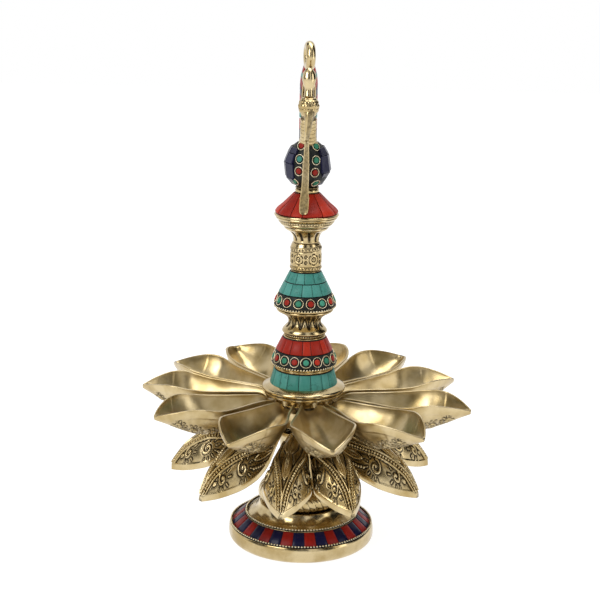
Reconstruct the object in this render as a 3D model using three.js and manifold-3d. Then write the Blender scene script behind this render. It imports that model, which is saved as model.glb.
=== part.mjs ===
// Hanging peacock diya: a brass lotus oil lamp with stone inlay, on a turned foot, and a
// peacock with a hanging loop that screws onto the top of its stem.
// Millimetres, +Z up. The origin is the centre of the foot's rest ring, on the table.
// The bird looks along -Y. A petal's azimuth turns from -Y towards +X, seen from above.

import * as THREE from "three";
import { mergeVertices } from "three/addons/utils/BufferGeometryUtils.js";
import Module from "manifold-3d";

const wasm = await Module();
wasm.setup();

// Fits and facets
const GAP = 0.3; // clearance between pieces that touch
const WIDE_FACETS = 26; // facets round the wide turned pieces
const SLIM_FACETS = 20; // facets round the slim ones
const BEAD_FACETS = 24; // facets round a ring of beaded wire
const ROD_FACETS = 12; // facets round a threaded rod

// Tie rod, which clamps everything from the foot to the cup
const ROD_RADIUS = 3;
const ROD_TAIL = 2.5; // thread left below the nut
const ROD_IN_CUP = 8.4; // depth screwed into the cup
const NUT_RADIUS = 6.4;
const NUT_HEIGHT = 5;
const WASHER_RADIUS = 9;
const WASHER_THICKNESS = 1.5;

// Foot casting
const FOOT_RADIUS = 48.6;
const FOOT_EDGE_ROUNDING = 0.8; // the rim leans in this much up to its lip
const REST_INSET = 2.8; // the rest ring stands this far inside the rim
const REST_RING_WIDTH = 5;
const FOOT_RIM_HEIGHT = 11; // up to the lip that carries the outer beaded wire
const FOOT_BAND_WIDTH = 8.6; // the sloping inlay band, in plan
const FOOT_BAND_RISE = 7.2;
const FOOT_BELL_RISE = 7.8; // from the inner beaded wire up to the gadroon ring
const FOOT_TOP_RADIUS = 28;
const FOOT_WALL = 4.5;
const FOOT_INLAY_THICKNESS = 1.5;
const WIRE_RADIUS = 0.6; // beaded wire round the inlays
const WIRE_LAND = 1.6; // flat lip that a beaded wire lies on

// Gadroon ring and neck
const GADROON_RADIUS = 29;
const GADROON_HEIGHT = 13.6;
const GADROON_RIBS = 22;
const GADROON_GROOVE = 1.3;
const NECK_RADIUS = 15;
const NECK_HEIGHT = 34.6;
const NECK_FLARE = 4; // widening at the neck's lower end

// Hub that clamps both tiers of petals by their root tabs
const HUB_RADIUS = 20;
const HUB_HEIGHT = 11;
const CLAMP_THICKNESS = 3;
const TAB_THICKNESS = 3;
const TAB_INNER_RADIUS = 15.5;
const TAB_OUTER_RADIUS = 22;
const TAB_INNER_HALF_WIDTH = 3.3;
const TAB_OUTER_HALF_WIDTH = 4.6;
const PETAL_WALL = 2;
const PETAL_SIDE_GAP = 0.9; // least air between neighbouring petals
const PETAL_INNER_COLUMNS = 6; // facets across the smooth face of a petal

// Cast relief on the outside of the petals: bands that stand on a sunken ground
const GROUND_DEPTH = 0.5;
const RELIEF_SLOPE = 0.5; // width of a band's sloping side
const STRAP_HEIGHT = 0.8; // above the ground

// Upper petals, the oil cups: azimuth in degrees, reach of the tip as a share of
// UPPER_REACH, and lift of the tip as a share of UPPER_TIP_HEIGHT
const UPPER_REACH = 110;
const UPPER_HALF_WIDTH = 21.8;
const UPPER_RIM_HEIGHT = 10.6; // highest part of the rim above the root tab
const UPPER_BELLY_DEPTH = 11.8; // lowest part of the belly below the root tab's top
const UPPER_TIP_HEIGHT = 4;
const CUP_FLARE = 1.4; // 1 for an upright elliptic bowl, 2 for a wide open one
const UPPER_MARGIN = 6.8; // smooth band below the rim
const UPPER_STEM_WIDTH = 3.6; // smooth band along the middle
const UPPER_PETALS = [
  [9.2, 0.995, -0.15],
  [41.5, 1, -0.2],
  [73.5, 1.014, 0.1],
  [108, 0.977, 0.38],
  [139.5, 0.982, 0.75],
  [171, 0.995, 1],
  [207, 0.982, 1],
  [237, 0.977, 0.62],
  [265, 0.975, 0.25],
  [300, 0.973, 0.08],
  [336.2, 0.996, 0],
];

// Lower petals, closed leaves that hang mouth down: azimuth in degrees, reach of the tip as
// a share of LOWER_REACH
const LOWER_REACH = 86.5;
const LOWER_HALF_WIDTH = 15.7;
const LOWER_DEPTH = 31.4; // from the root tab's underside down to the tip
const LOWER_MARGIN = 4.6; // smooth band along the mouth
const STRAP_WIDTH = 3.6; // two straps that meet at the tip
const LOWER_PETALS = [
  [351.3, 1],
  [21.4, 0.994],
  [58, 1.006],
  [99, 0.994],
  [136, 1],
  [172, 0.994],
  [208, 1],
  [242, 0.994],
  [271.5, 1.006],
  [312.5, 1],
];

// Drip collar over the roots of the petals
const COLLAR_RADIUS = 27.4;
const COLLAR_HEIGHT = 9.7; // up to the deck that the inlaid stem stands on
const COLLAR_BEAD_HEIGHT = 1; // low bead round the deck's edge

// Inlaid stem
const BAND_THICKNESS = 1.6; // chips and resin, measured level
const LOWER_CONE_RADIUS = 22.8;
const LOWER_CONE_TOP_RADIUS = 19.6;
const LOWER_CONE_HEIGHT = 12.4;
const LOWER_CONE_CAP = 1.2;
const RED_CONE_RADIUS = 21.6;
const RED_CONE_MIDDLE_RADIUS = 18.7;
const RED_CONE_TOP_RADIUS = 14.3;
const RED_CONE_PLINTH = 2.6;
const RED_DOT_BAND_HEIGHT = 8;
const RED_CHIP_BAND_HEIGHT = 9;
const RED_CONE_CAP = 0.6;
const SPOOL_FOOT_RADIUS = 14.4;
const SPOOL_WAIST_RADIUS = 10.7;
const SPOOL_TOP_RADIUS = 19;
const SPOOL_HEIGHT = 17.7;
const BLUE_CONE_RADIUS = 20.4;
const BLUE_CONE_MIDDLE_RADIUS = 17.3;
const BLUE_CONE_TOP_RADIUS = 10.2;
const BLUE_CONE_PLINTH = 2.4;
const BLUE_DOT_BAND_HEIGHT = 7.8;
const BLUE_CHIP_BAND_HEIGHT = 14.4;
const BLUE_CONE_CAP = 0.4;
const RIM_WIRE_RADIUS = 0.75; // beaded wire round the two dotted cones

// Engraved barrel, stepped cup and the red canopy on it
const BARREL_RADIUS = 10.2;
const BARREL_NECK_RADIUS = 8.7;
const BARREL_HEIGHT = 17.7;
const CUP_RADIUS = 20.8;
const CUP_STEPS = 4;
const CUP_HEIGHT = 18.8;
const CUP_RIM_HEIGHT = 2.6;
const CANOPY_RADIUS = 20.3;
const CANOPY_TOP_RADIUS = 7.4;
const CANOPY_HEIGHT = 13;
const CANOPY_THICKNESS = 2;

// Stud that the bird screws into the cup by, and the seat ring that the bird stands on
const STUD_RADIUS = 3.2;
const STUD_IN_CUP = 9.2;
const STUD_IN_BIRD = 9;
const SEAT_RADIUS = 7.6;
const SEAT_HEIGHT = 2.3;

// Bird
const BODY_HALF_WIDTH = 13.4;
const BODY_HALF_LENGTH = 19;
const BODY_HALF_HEIGHT = 14.6;
const BODY_BACK = 1; // the body's middle stands this far behind the stem's axis
const BODY_FOOT_RADIUS = 6.6;
const BODY_FOOT_HEIGHT = 5;
const BODY_FACETS = 16;
const NECK_FACETS = 12;
const CREST_FACETS = 10;
const BEAK_FACETS = 8;
const WING_THICKNESS = 1.2;
const WING_INSET = 7.5; // distance of a wing's edge from the middle plane
const HEAD_HALF_WIDTH = 6.2;
const HEAD_HALF_LENGTH = 6.8;
const HEAD_HALF_HEIGHT = 6.6;
const HEAD_FORWARD = 19.5;
const HEAD_LIFT = 53.2; // above the bird's underside
const NECK_ROOT_FORWARD = 8;
const NECK_ROOT_LIFT = 24;
const BEAK_LENGTH = 20.2; // from the middle of the head to the beak's tip
const BEAK_FORWARD = 3.4; // beyond the middle of the head
const CREST_HEIGHT = 17.4;
const CREST_BULB_RADIUS = 3.7;
const STRAND_HALF_WIDTH = 2.9;
const STRAND_HALF_THICKNESS = 1;
const STRAND_FOOT_LIFT = 2.6; // above the canopy's edge
const TAIL_REACH = 34; // the plate's centreline at its furthest back
const TAIL_HALF_DEPTH = 9; // the plate at its widest, across its centreline
const TAIL_HALF_THICKNESS = 5.5;
const TAIL_BORDER = 1.6;
const TAIL_INLAY_THICKNESS = 1;
const LOOP_RADIUS = 6.4; // centre of the bar
const LOOP_BAR_RADIUS = 2.7;
const LOOP_TURN = 8; // degrees from the bird's middle plane
const LOOP_LIFT = 83; // above the bird's underside

const fullTurn = 360;
const degrees = (2 * Math.PI) / fullTurn;
const part = new THREE.Group();
part.name = "peacock_diya";

// Finishes
const finish = (color, roughness, metalness) =>
  new THREE.MeshStandardMaterial({ color, roughness, metalness });
const brass = () => finish(0xc6a566, 0.3, 1);
const steel = () => finish(0x9a9a98, 0.4, 1);
const turquoise = () => finish(0x4fa08c, 0.45, 0);
const coral = () => finish(0xb82a22, 0.4, 0);
const lapis = () => finish(0x25254f, 0.35, 0);
const resin = () => finish(0x1e2420, 0.45, 0);

function addPiece(name, geometry, material) {
  const mesh = new THREE.Mesh(geometry, material);
  mesh.name = name;
  part.add(mesh);
  return mesh;
}

// Volume enclosed by a mesh, negative where its faces point inwards
function signedVolume(geometry) {
  const flat = geometry.index ? geometry.toNonIndexed() : geometry;
  const corner = flat.getAttribute("position");
  const a = new THREE.Vector3();
  const b = new THREE.Vector3();
  const c = new THREE.Vector3();
  let sum = 0;
  for (let i = 0; i < corner.count; i += 3) {
    a.fromBufferAttribute(corner, i);
    b.fromBufferAttribute(corner, i + 1);
    c.fromBufferAttribute(corner, i + 2);
    sum += a.dot(b.cross(c)) / 6;
  }
  return sum;
}

// The same mesh with its faces pointing out, its shared corners merged
function facingOut(geometry) {
  geometry.deleteAttribute("normal");
  geometry.deleteAttribute("uv");
  const merged = mergeVertices(geometry, 1e-4);
  if (signedVolume(merged) < 0) {
    merged.index.array.reverse();
  }
  merged.computeVertexNormals();
  return merged;
}

// A turned piece from [radius, height] points, which close on themselves or end on the axis
function turned(points, facets) {
  const profile = points.map(([radius, height]) => new THREE.Vector2(radius, height));
  if (points[0][0] > 0) {
    profile.push(profile[0].clone());
  }
  return facingOut(new THREE.LatheGeometry(profile, facets).rotateX(Math.PI / 2));
}

// A plain round bar from one height to another
function cylinder(radius, bottom, top, facets) {
  const side = [
    [0, bottom],
    [radius, bottom],
    [radius, top],
    [0, top],
  ];
  return turned(side, facets);
}

function solidOf(geometry) {
  const bare = facingOut(geometry.clone());
  return new wasm.Manifold(
    new wasm.Mesh({
      numProp: 3,
      vertProperties: bare.getAttribute("position").array,
      triVerts: new Uint32Array(bare.index.array),
    }),
  );
}

function geometryOf(solid) {
  const mesh = solid.getMesh();
  const geometry = new THREE.BufferGeometry();
  geometry.setAttribute("position", new THREE.BufferAttribute(mesh.vertProperties, 3));
  geometry.setIndex(new THREE.BufferAttribute(mesh.triVerts, 1));
  geometry.computeVertexNormals();
  return geometry;
}

// A closed body from rings of points, each ring the same length, capped at both ends
function skinned(rings) {
  const sides = rings[0].length;
  const position = rings.flat(2);
  const index = [];
  for (let i = 0; i + 1 < rings.length; i++) {
    for (let j = 0; j < sides; j++) {
      const here = i * sides + j;
      const beside = i * sides + ((j + 1) % sides);
      index.push(here, beside, here + sides, beside, beside + sides, here + sides);
    }
  }
  const last = (rings.length - 1) * sides;
  for (let j = 1; j + 1 < sides; j++) {
    index.push(0, j + 1, j, last, last + j, last + j + 1);
  }
  const geometry = new THREE.BufferGeometry();
  geometry.setAttribute("position", new THREE.Float32BufferAttribute(position, 3));
  geometry.setIndex(index);
  return facingOut(geometry);
}

// Levels up the column: each piece stands on the one below it
const bore = ROD_RADIUS + GAP;
const footLip = FOOT_RIM_HEIGHT + FOOT_BAND_RISE;
const footTop = footLip + FOOT_BELL_RISE;
const gadroonBase = footTop + GAP;
const neckBase = gadroonBase + GADROON_HEIGHT + GAP;
const clampBase = neckBase + NECK_HEIGHT + GAP;
const lowerTabBase = clampBase + CLAMP_THICKNESS + GAP;
const hubBase = lowerTabBase + TAB_THICKNESS + GAP;
const upperTabBase = hubBase + HUB_HEIGHT + GAP;
const upperTabTop = upperTabBase + TAB_THICKNESS;
const collarBase = upperTabTop + GAP;
const collarDeck = collarBase + COLLAR_HEIGHT;

// Foot: a hollow casting with a sloping seat for the inlay between two lips
const lipRadius = FOOT_RADIUS - FOOT_EDGE_ROUNDING;
const bandOuter = lipRadius - WIRE_LAND;
const bandInner = bandOuter - FOOT_BAND_WIDTH;
const bellFlare = bandInner - WIRE_LAND - FOOT_TOP_RADIUS;
const bandTop = (radius) =>
  FOOT_RIM_HEIGHT + (FOOT_BAND_RISE * (bandOuter - radius)) / FOOT_BAND_WIDTH;
const bandSeat = (radius) => bandTop(radius) - FOOT_INLAY_THICKNESS - GAP;
const restOuter = FOOT_RADIUS - REST_INSET;
const restInner = restOuter - REST_RING_WIDTH;
const outerWireRadius = lipRadius - WIRE_LAND / 2;
const innerWireRadius = bandInner - WIRE_LAND / 2;
const underDeck = footTop - FOOT_WALL;

function makeFoot() {
  const casting = [
    [restInner, 0],
    [restOuter, 0],
    [FOOT_RADIUS - 0.6 * FOOT_EDGE_ROUNDING, 0.22 * FOOT_RIM_HEIGHT],
    [FOOT_RADIUS, 0.5 * FOOT_RIM_HEIGHT],
    [FOOT_RADIUS - 0.5 * FOOT_EDGE_ROUNDING, 0.82 * FOOT_RIM_HEIGHT],
    [lipRadius, FOOT_RIM_HEIGHT],
    [bandOuter, FOOT_RIM_HEIGHT],
    [bandOuter, bandSeat(bandOuter)],
    [bandInner, bandSeat(bandInner)],
    [bandInner, footLip],
    [bandInner - WIRE_LAND, footLip],
    [FOOT_TOP_RADIUS + 0.45 * bellFlare, footLip + 0.2 * FOOT_BELL_RISE],
    [FOOT_TOP_RADIUS + 0.11 * bellFlare, footLip + 0.6 * FOOT_BELL_RISE],
    [FOOT_TOP_RADIUS, footTop],
    [bore, footTop],
    [bore, underDeck],
    [FOOT_TOP_RADIUS - FOOT_WALL, underDeck],
    [bandInner - FOOT_WALL, footLip - 1.45 * FOOT_WALL],
    [restInner, FOOT_RIM_HEIGHT / 2],
  ];
  const edgeOut = bandOuter - GAP;
  const edgeIn = bandInner + GAP;
  const inlay = [
    [edgeOut, bandTop(edgeOut) - FOOT_INLAY_THICKNESS],
    [edgeOut, bandTop(edgeOut)],
    [edgeIn, bandTop(edgeIn)],
    [edgeIn, bandTop(edgeIn) - FOOT_INLAY_THICKNESS],
  ];
  addPiece("foot_casting", turned(casting, WIDE_FACETS), brass());
  addPiece("foot_inlay_ring", turned(inlay, WIDE_FACETS), coral());
  addWire("foot_outer_bead", outerWireRadius, FOOT_RIM_HEIGHT, WIRE_RADIUS);
  addWire("foot_inner_bead", innerWireRadius, footLip, WIRE_RADIUS);
}

// A ring of beaded wire that lies on a land
function addWire(name, radius, land, wire) {
  const ring = new THREE.TorusGeometry(radius, wire, 4, BEAD_FACETS);
  addPiece(name, facingOut(ring), brass()).position.z = land + GAP + wire;
}

// Gadroon ring: a fat torus with grooves cut between its ribs
function makeGadroonRing() {
  const profile = [
    [bore, 0],
    [GADROON_RADIUS - 0.33 * GADROON_HEIGHT, 0],
    [GADROON_RADIUS - 0.08 * GADROON_HEIGHT, 0.2 * GADROON_HEIGHT],
    [GADROON_RADIUS, 0.5 * GADROON_HEIGHT],
    [GADROON_RADIUS - 0.12 * GADROON_HEIGHT, 0.8 * GADROON_HEIGHT],
    [GADROON_RADIUS - 0.51 * GADROON_HEIGHT, GADROON_HEIGHT],
    [bore, GADROON_HEIGHT],
  ];
  const rings = [];
  for (let i = 0; i < 2 * GADROON_RIBS; i++) {
    const angle = (i * Math.PI) / GADROON_RIBS;
    const groove = i % 2 === 0 ? 0 : GADROON_GROOVE;
    rings.push(
      profile.map(([radius, height]) => {
        const r = radius > bore ? radius - groove : radius;
        return [r * Math.cos(angle), r * Math.sin(angle), gadroonBase + height];
      }),
    );
  }
  addPiece("gadroon_ring", closedRound(rings), brass());
}

// A closed body from sections that go all the way round an axis and meet the first again
function closedRound(sections) {
  const count = sections[0].length;
  const index = [];
  for (let i = 0; i < sections.length; i++) {
    const next = (i + 1) % sections.length;
    for (let j = 0; j < count; j++) {
      const after = (j + 1) % count;
      const a = i * count + j;
      const b = next * count + j;
      const c = next * count + after;
      const d = i * count + after;
      index.push(a, b, c, a, c, d);
    }
  }
  const geometry = new THREE.BufferGeometry();
  geometry.setAttribute("position", new THREE.Float32BufferAttribute(sections.flat(2), 3));
  geometry.setIndex(index);
  return facingOut(geometry);
}

function makeNeckAndHub() {
  const neckTop = neckBase + NECK_HEIGHT;
  const neck = [
    [bore, neckBase],
    [NECK_RADIUS + NECK_FLARE, neckBase],
    [NECK_RADIUS + 0.65 * NECK_FLARE, neckBase + 0.45 * NECK_FLARE],
    [NECK_RADIUS, neckBase + 1.25 * NECK_FLARE],
    [NECK_RADIUS, neckTop - 1.5 * NECK_FLARE],
    [NECK_RADIUS + 0.75 * NECK_FLARE, neckTop],
    [bore, neckTop],
  ];
  addPiece("foot_neck", turned(neck, SLIM_FACETS), brass());
  addDisc("lower_clamp_disc", bore, HUB_RADIUS, clampBase, CLAMP_THICKNESS, brass());
  addDisc("hub_drum", bore, HUB_RADIUS, hubBase, HUB_HEIGHT, brass());
}

// A flat ring with a hole through it
function addDisc(name, inner, outer, base, height, material) {
  const profile = [
    [inner, base],
    [outer, base],
    [outer, base + height],
    [inner, base + height],
  ];
  addPiece(name, turned(profile, SLIM_FACETS), material);
}

// Petal stations between the root tab's outer edge and the tip: share of the way out, and
// half width, rim and belly as shares of the petal's own sizes. A lower petal's last value is
// the distance of a strap from its middle, over the surface, as a share of its half width
const UPPER_STATIONS = [
  [0.07, 0.34, 0.53, 0.17],
  [0.205, 0.52, 0.64, 0.47],
  [0.365, 0.725, 0.68, 0.85],
  [0.51, 0.89, 0.735, 1],
  [0.635, 1, 0.885, 0.965],
  [0.715, 0.845, 1, 0.8],
  [0.807, 0.54, 0.98, 0.51],
  [0.91, 0.22, 0.755, 0.135],
  [1, 0.041, 0.435, -0.17],
];
const LOWER_STATIONS = [
  [0.124, 0.55, -0.16, 0.146, 0.64],
  [0.28, 0.8, -0.46, 0.124, 0.72],
  [0.434, 0.98, -0.637, 0.051, 0.68],
  [0.59, 1, -0.752, -0.057, 0.53],
  [0.73, 0.828, -0.847, -0.24, 0.33],
  [0.853, 0.56, -0.93, -0.446, 0.18],
  [0.938, 0.306, -0.975, -0.685, 0.12],
  [1, 0.096, -1, -0.89, 0.1],
];
const upperShape = {
  stations: UPPER_STATIONS,
  flare: CUP_FLARE,
  relief: cupRelief,
  halfWidth: UPPER_HALF_WIDTH,
  rimUnit: UPPER_RIM_HEIGHT,
  bellyUnit: -UPPER_BELLY_DEPTH,
  tabDepth: -TAB_THICKNESS,
  flatSide: upperTabTop,
};
const lowerShape = {
  stations: LOWER_STATIONS,
  flare: 1,
  relief: leafRelief,
  halfWidth: LOWER_HALF_WIDTH,
  rimUnit: LOWER_DEPTH,
  bellyUnit: LOWER_DEPTH,
  tabDepth: TAB_THICKNESS,
  flatSide: lowerTabBase,
};

// Half the angle from each petal to its nearer neighbour, in radians
function halfPitches(azimuths) {
  return azimuths.map((azimuth, k) => {
    const before = azimuths.at(k - 1);
    const after = azimuths[(k + 1) % azimuths.length];
    const turn = (from, to) => (to - from + 2 * fullTurn) % fullTurn;
    return (Math.min(turn(before, azimuth), turn(azimuth, after)) / 2) * degrees;
  });
}

// Places of the bands on half a cup, over its surface from the middle out, each with its height
function cupRelief(length) {
  const stem = UPPER_STEM_WIDTH / 2;
  const field = length - UPPER_MARGIN;
  return [
    [0, 0],
    [stem, 0],
    [stem + RELIEF_SLOPE, -GROUND_DEPTH],
    [(stem + field) / 2, -GROUND_DEPTH],
    [field - RELIEF_SLOPE, -GROUND_DEPTH],
    [field, 0],
    [length - UPPER_MARGIN / 2, 0],
    [length, 0],
  ];
}

// The same for half a leaf, with its strap
function leafRelief(length, strap) {
  const middle = Math.max(strap * LOWER_HALF_WIDTH, STRAP_WIDTH / 2 + 2 * RELIEF_SLOPE);
  const field = length - LOWER_MARGIN;
  const inner = middle - STRAP_WIDTH / 2;
  const outer = middle + STRAP_WIDTH / 2;
  const top = STRAP_HEIGHT - GROUND_DEPTH;
  return [
    [0, 0],
    [inner - RELIEF_SLOPE, -GROUND_DEPTH],
    [inner, top],
    [outer, top],
    [outer + RELIEF_SLOPE, -GROUND_DEPTH],
    [field - RELIEF_SLOPE, -GROUND_DEPTH],
    [field, 0],
    [length, 0],
  ];
}

// A thin dished shell on its root tab, lying along +X, with its open side towards the rim
function petal(shape, reach, tipLift, halfPitch) {
  const rootTab = [
    [TAB_INNER_RADIUS, TAB_INNER_HALF_WIDTH],
    [TAB_OUTER_RADIUS, TAB_OUTER_HALF_WIDTH],
  ];
  const [, , , , firstStrap] = shape.stations[0];
  const rings = rootTab.map(([r, half]) =>
    petalRing(shape, r, half, shape.flatSide, shape.tabDepth, TAB_THICKNESS, firstStrap),
  );
  for (const [share, width, rim, belly, strap] of shape.stations) {
    const r = TAB_OUTER_RADIUS + share * (reach - TAB_OUTER_RADIUS);
    const room = r * Math.tan(halfPitch) - PETAL_SIDE_GAP / 2 / Math.cos(halfPitch);
    const half = Math.min(width * shape.halfWidth, room);
    const rimHeight = rim * shape.rimUnit;
    const level = shape.flatSide + tipLift * share ** 2 + rimHeight;
    const depth = belly * shape.bellyUnit - rimHeight;
    rings.push(petalRing(shape, r, half, level, depth, PETAL_WALL, strap));
  }
  return shell(rings);
}

// One section across a petal: its outer face from edge to edge, then its inner face back.
// Where the section is too short for the relief, the whole relief is drawn smaller
function petalRing(shape, r, half, level, depth, wall, strap) {
  const length = (Math.PI / 2) * Math.hypot(half, depth) * Math.SQRT1_2;
  const least = 3 * Math.max(UPPER_MARGIN, LOWER_MARGIN);
  const fit = Math.min(1, length / least);
  const bands = shape.relief(length / fit, strap);
  const side = Math.sign(depth);
  const swell = (turn) => Math.max(0, Math.cos(turn)) ** shape.flare;
  const outerPoint = (turn, lift) => {
    const slope = Math.hypot(depth * Math.sin(turn), half * Math.cos(turn));
    const out = (Math.abs(depth) * Math.sin(turn) * lift) / slope;
    const up = (side * half * Math.cos(turn) * lift) / slope;
    const rise = depth * swell(turn);
    return [r, half * Math.sin(turn) + out, level + rise + up];
  };
  const turnAt = (place) => ((place * fit) / length) * (Math.PI / 2);
  const right = bands.map(([place, height]) => outerPoint(turnAt(place), height * fit));
  const left = bands.slice(1).map(([place, height]) => outerPoint(-turnAt(place), height * fit));
  const inner = Math.max(half - wall, 0.35 * half);
  const hollow = depth - side * wall;
  const back = Array.from({ length: PETAL_INNER_COLUMNS + 1 }, (_, j) => {
    const turn = (0.5 - j / PETAL_INNER_COLUMNS) * Math.PI;
    return [r, inner * Math.sin(turn), level + hollow * swell(turn)];
  });
  return { outer: [...left.reverse(), ...right], inner: back };
}

// A closed body from sections, each with an outer chain and an inner one that runs back
function shell(sections) {
  const rings = sections.map(({ outer, inner }) => [...outer, ...inner]);
  const sides = rings[0].length;
  const index = [];
  for (let i = 0; i + 1 < rings.length; i++) {
    for (let j = 0; j < sides; j++) {
      const here = i * sides + j;
      const beside = i * sides + ((j + 1) % sides);
      index.push(here, beside, here + sides, beside, beside + sides, here + sides);
    }
  }
  const outerCount = sections[0].outer.length;
  const last = (rings.length - 1) * sides;
  for (const [a, b, c] of capTriangles(outerCount, sides)) {
    index.push(a, b, c);
    index.push(last + a, last + c, last + b);
  }
  const geometry = new THREE.BufferGeometry();
  geometry.setAttribute("position", new THREE.Float32BufferAttribute(rings.flat(2), 3));
  geometry.setIndex(index);
  return facingOut(geometry);
}

// Triangles of an end cap, in step along its outer chain and back along its inner one
function capTriangles(outerCount, sides) {
  const innerCount = sides - outerCount;
  const triangles = [];
  let i = 0;
  let j = 0;
  while (i + 1 < outerCount || j + 1 < innerCount) {
    const across = sides - 1 - j;
    const outerShare = (i + 1) / (outerCount - 1);
    const innerShare = (j + 1) / (innerCount - 1);
    if (outerShare <= innerShare) {
      triangles.push([i, across, i + 1]);
      i++;
    } else {
      triangles.push([i, across, across - 1]);
      j++;
    }
  }
  return triangles;
}

function makePetals() {
  const upperPitches = halfPitches(UPPER_PETALS.map(([azimuth]) => azimuth));
  UPPER_PETALS.forEach(([azimuth, reach, lift], k) => {
    const cup = petal(upperShape, reach * UPPER_REACH, lift * UPPER_TIP_HEIGHT, upperPitches[k]);
    const name = `upper_petal_${String(k + 1).padStart(2, "0")}`;
    addPiece(name, cup, brass()).rotation.z = (azimuth - 90) * degrees;
  });
  const lowerPitches = halfPitches(LOWER_PETALS.map(([azimuth]) => azimuth));
  LOWER_PETALS.forEach(([azimuth, reach], k) => {
    const leaf = petal(lowerShape, reach * LOWER_REACH, 0, lowerPitches[k]);
    const name = `lower_petal_${String(k + 1).padStart(2, "0")}`;
    addPiece(name, leaf, brass()).rotation.z = (azimuth - 90) * degrees;
  });
}

function makeDripCollar() {
  const collar = [
    [bore, collarBase],
    [HUB_RADIUS, collarBase],
    [HUB_RADIUS + 0.1 * COLLAR_HEIGHT, collarBase + 0.58 * COLLAR_HEIGHT],
    [COLLAR_RADIUS - 0.14 * COLLAR_HEIGHT, collarBase + 0.68 * COLLAR_HEIGHT],
    [COLLAR_RADIUS, collarBase + 0.75 * COLLAR_HEIGHT],
    [COLLAR_RADIUS, collarBase + 0.89 * COLLAR_HEIGHT],
    [COLLAR_RADIUS - 1.8 * COLLAR_BEAD_HEIGHT, collarDeck],
    [COLLAR_RADIUS - 2.5 * COLLAR_BEAD_HEIGHT, collarDeck + 0.9 * COLLAR_BEAD_HEIGHT],
    [COLLAR_RADIUS - 3.5 * COLLAR_BEAD_HEIGHT, collarDeck + COLLAR_BEAD_HEIGHT],
    [LOWER_CONE_RADIUS + 2 * GAP, collarDeck],
    [bore, collarDeck],
  ];
  addPiece("drip_collar", turned(collar, WIDE_FACETS), brass());
}

// A tapering brass core with inlaid bands round it, and a thin brass cap over the last band.
// Returns the height of its top.
function makeInlaidCone(name, base, plinthRadius, plinthHeight, bands, cap) {
  const core = [
    [bore, base],
    [plinthRadius, base],
  ];
  if (plinthHeight > 0) {
    core.push([plinthRadius, base + plinthHeight]);
  }
  let level = base + plinthHeight;
  for (const band of bands) {
    const top = level + band.height;
    core.push([band.bottomRadius - BAND_THICKNESS - GAP, level]);
    core.push([band.topRadius - BAND_THICKNESS - GAP, top]);
    const ring = [
      [band.bottomRadius, level + GAP],
      [band.topRadius, top],
      [band.topRadius - BAND_THICKNESS, top],
      [band.bottomRadius - BAND_THICKNESS, level + GAP],
    ];
    addPiece(band.name, turned(ring, WIDE_FACETS), band.material);
    level = top;
  }
  const capRadius = bands.at(-1).topRadius - 0.5;
  core.push([bands.at(-1).topRadius - BAND_THICKNESS - GAP, level + GAP]);
  core.push([capRadius, level + GAP]);
  core.push([capRadius, level + GAP + cap]);
  core.push([bore, level + GAP + cap]);
  const distinct = core.filter(([r, z], k) => k === 0 || r !== core[k - 1][0] || z !== core[k - 1][1]);
  addPiece(name, turned(distinct, SLIM_FACETS), brass());
  return level + GAP + cap;
}

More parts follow.
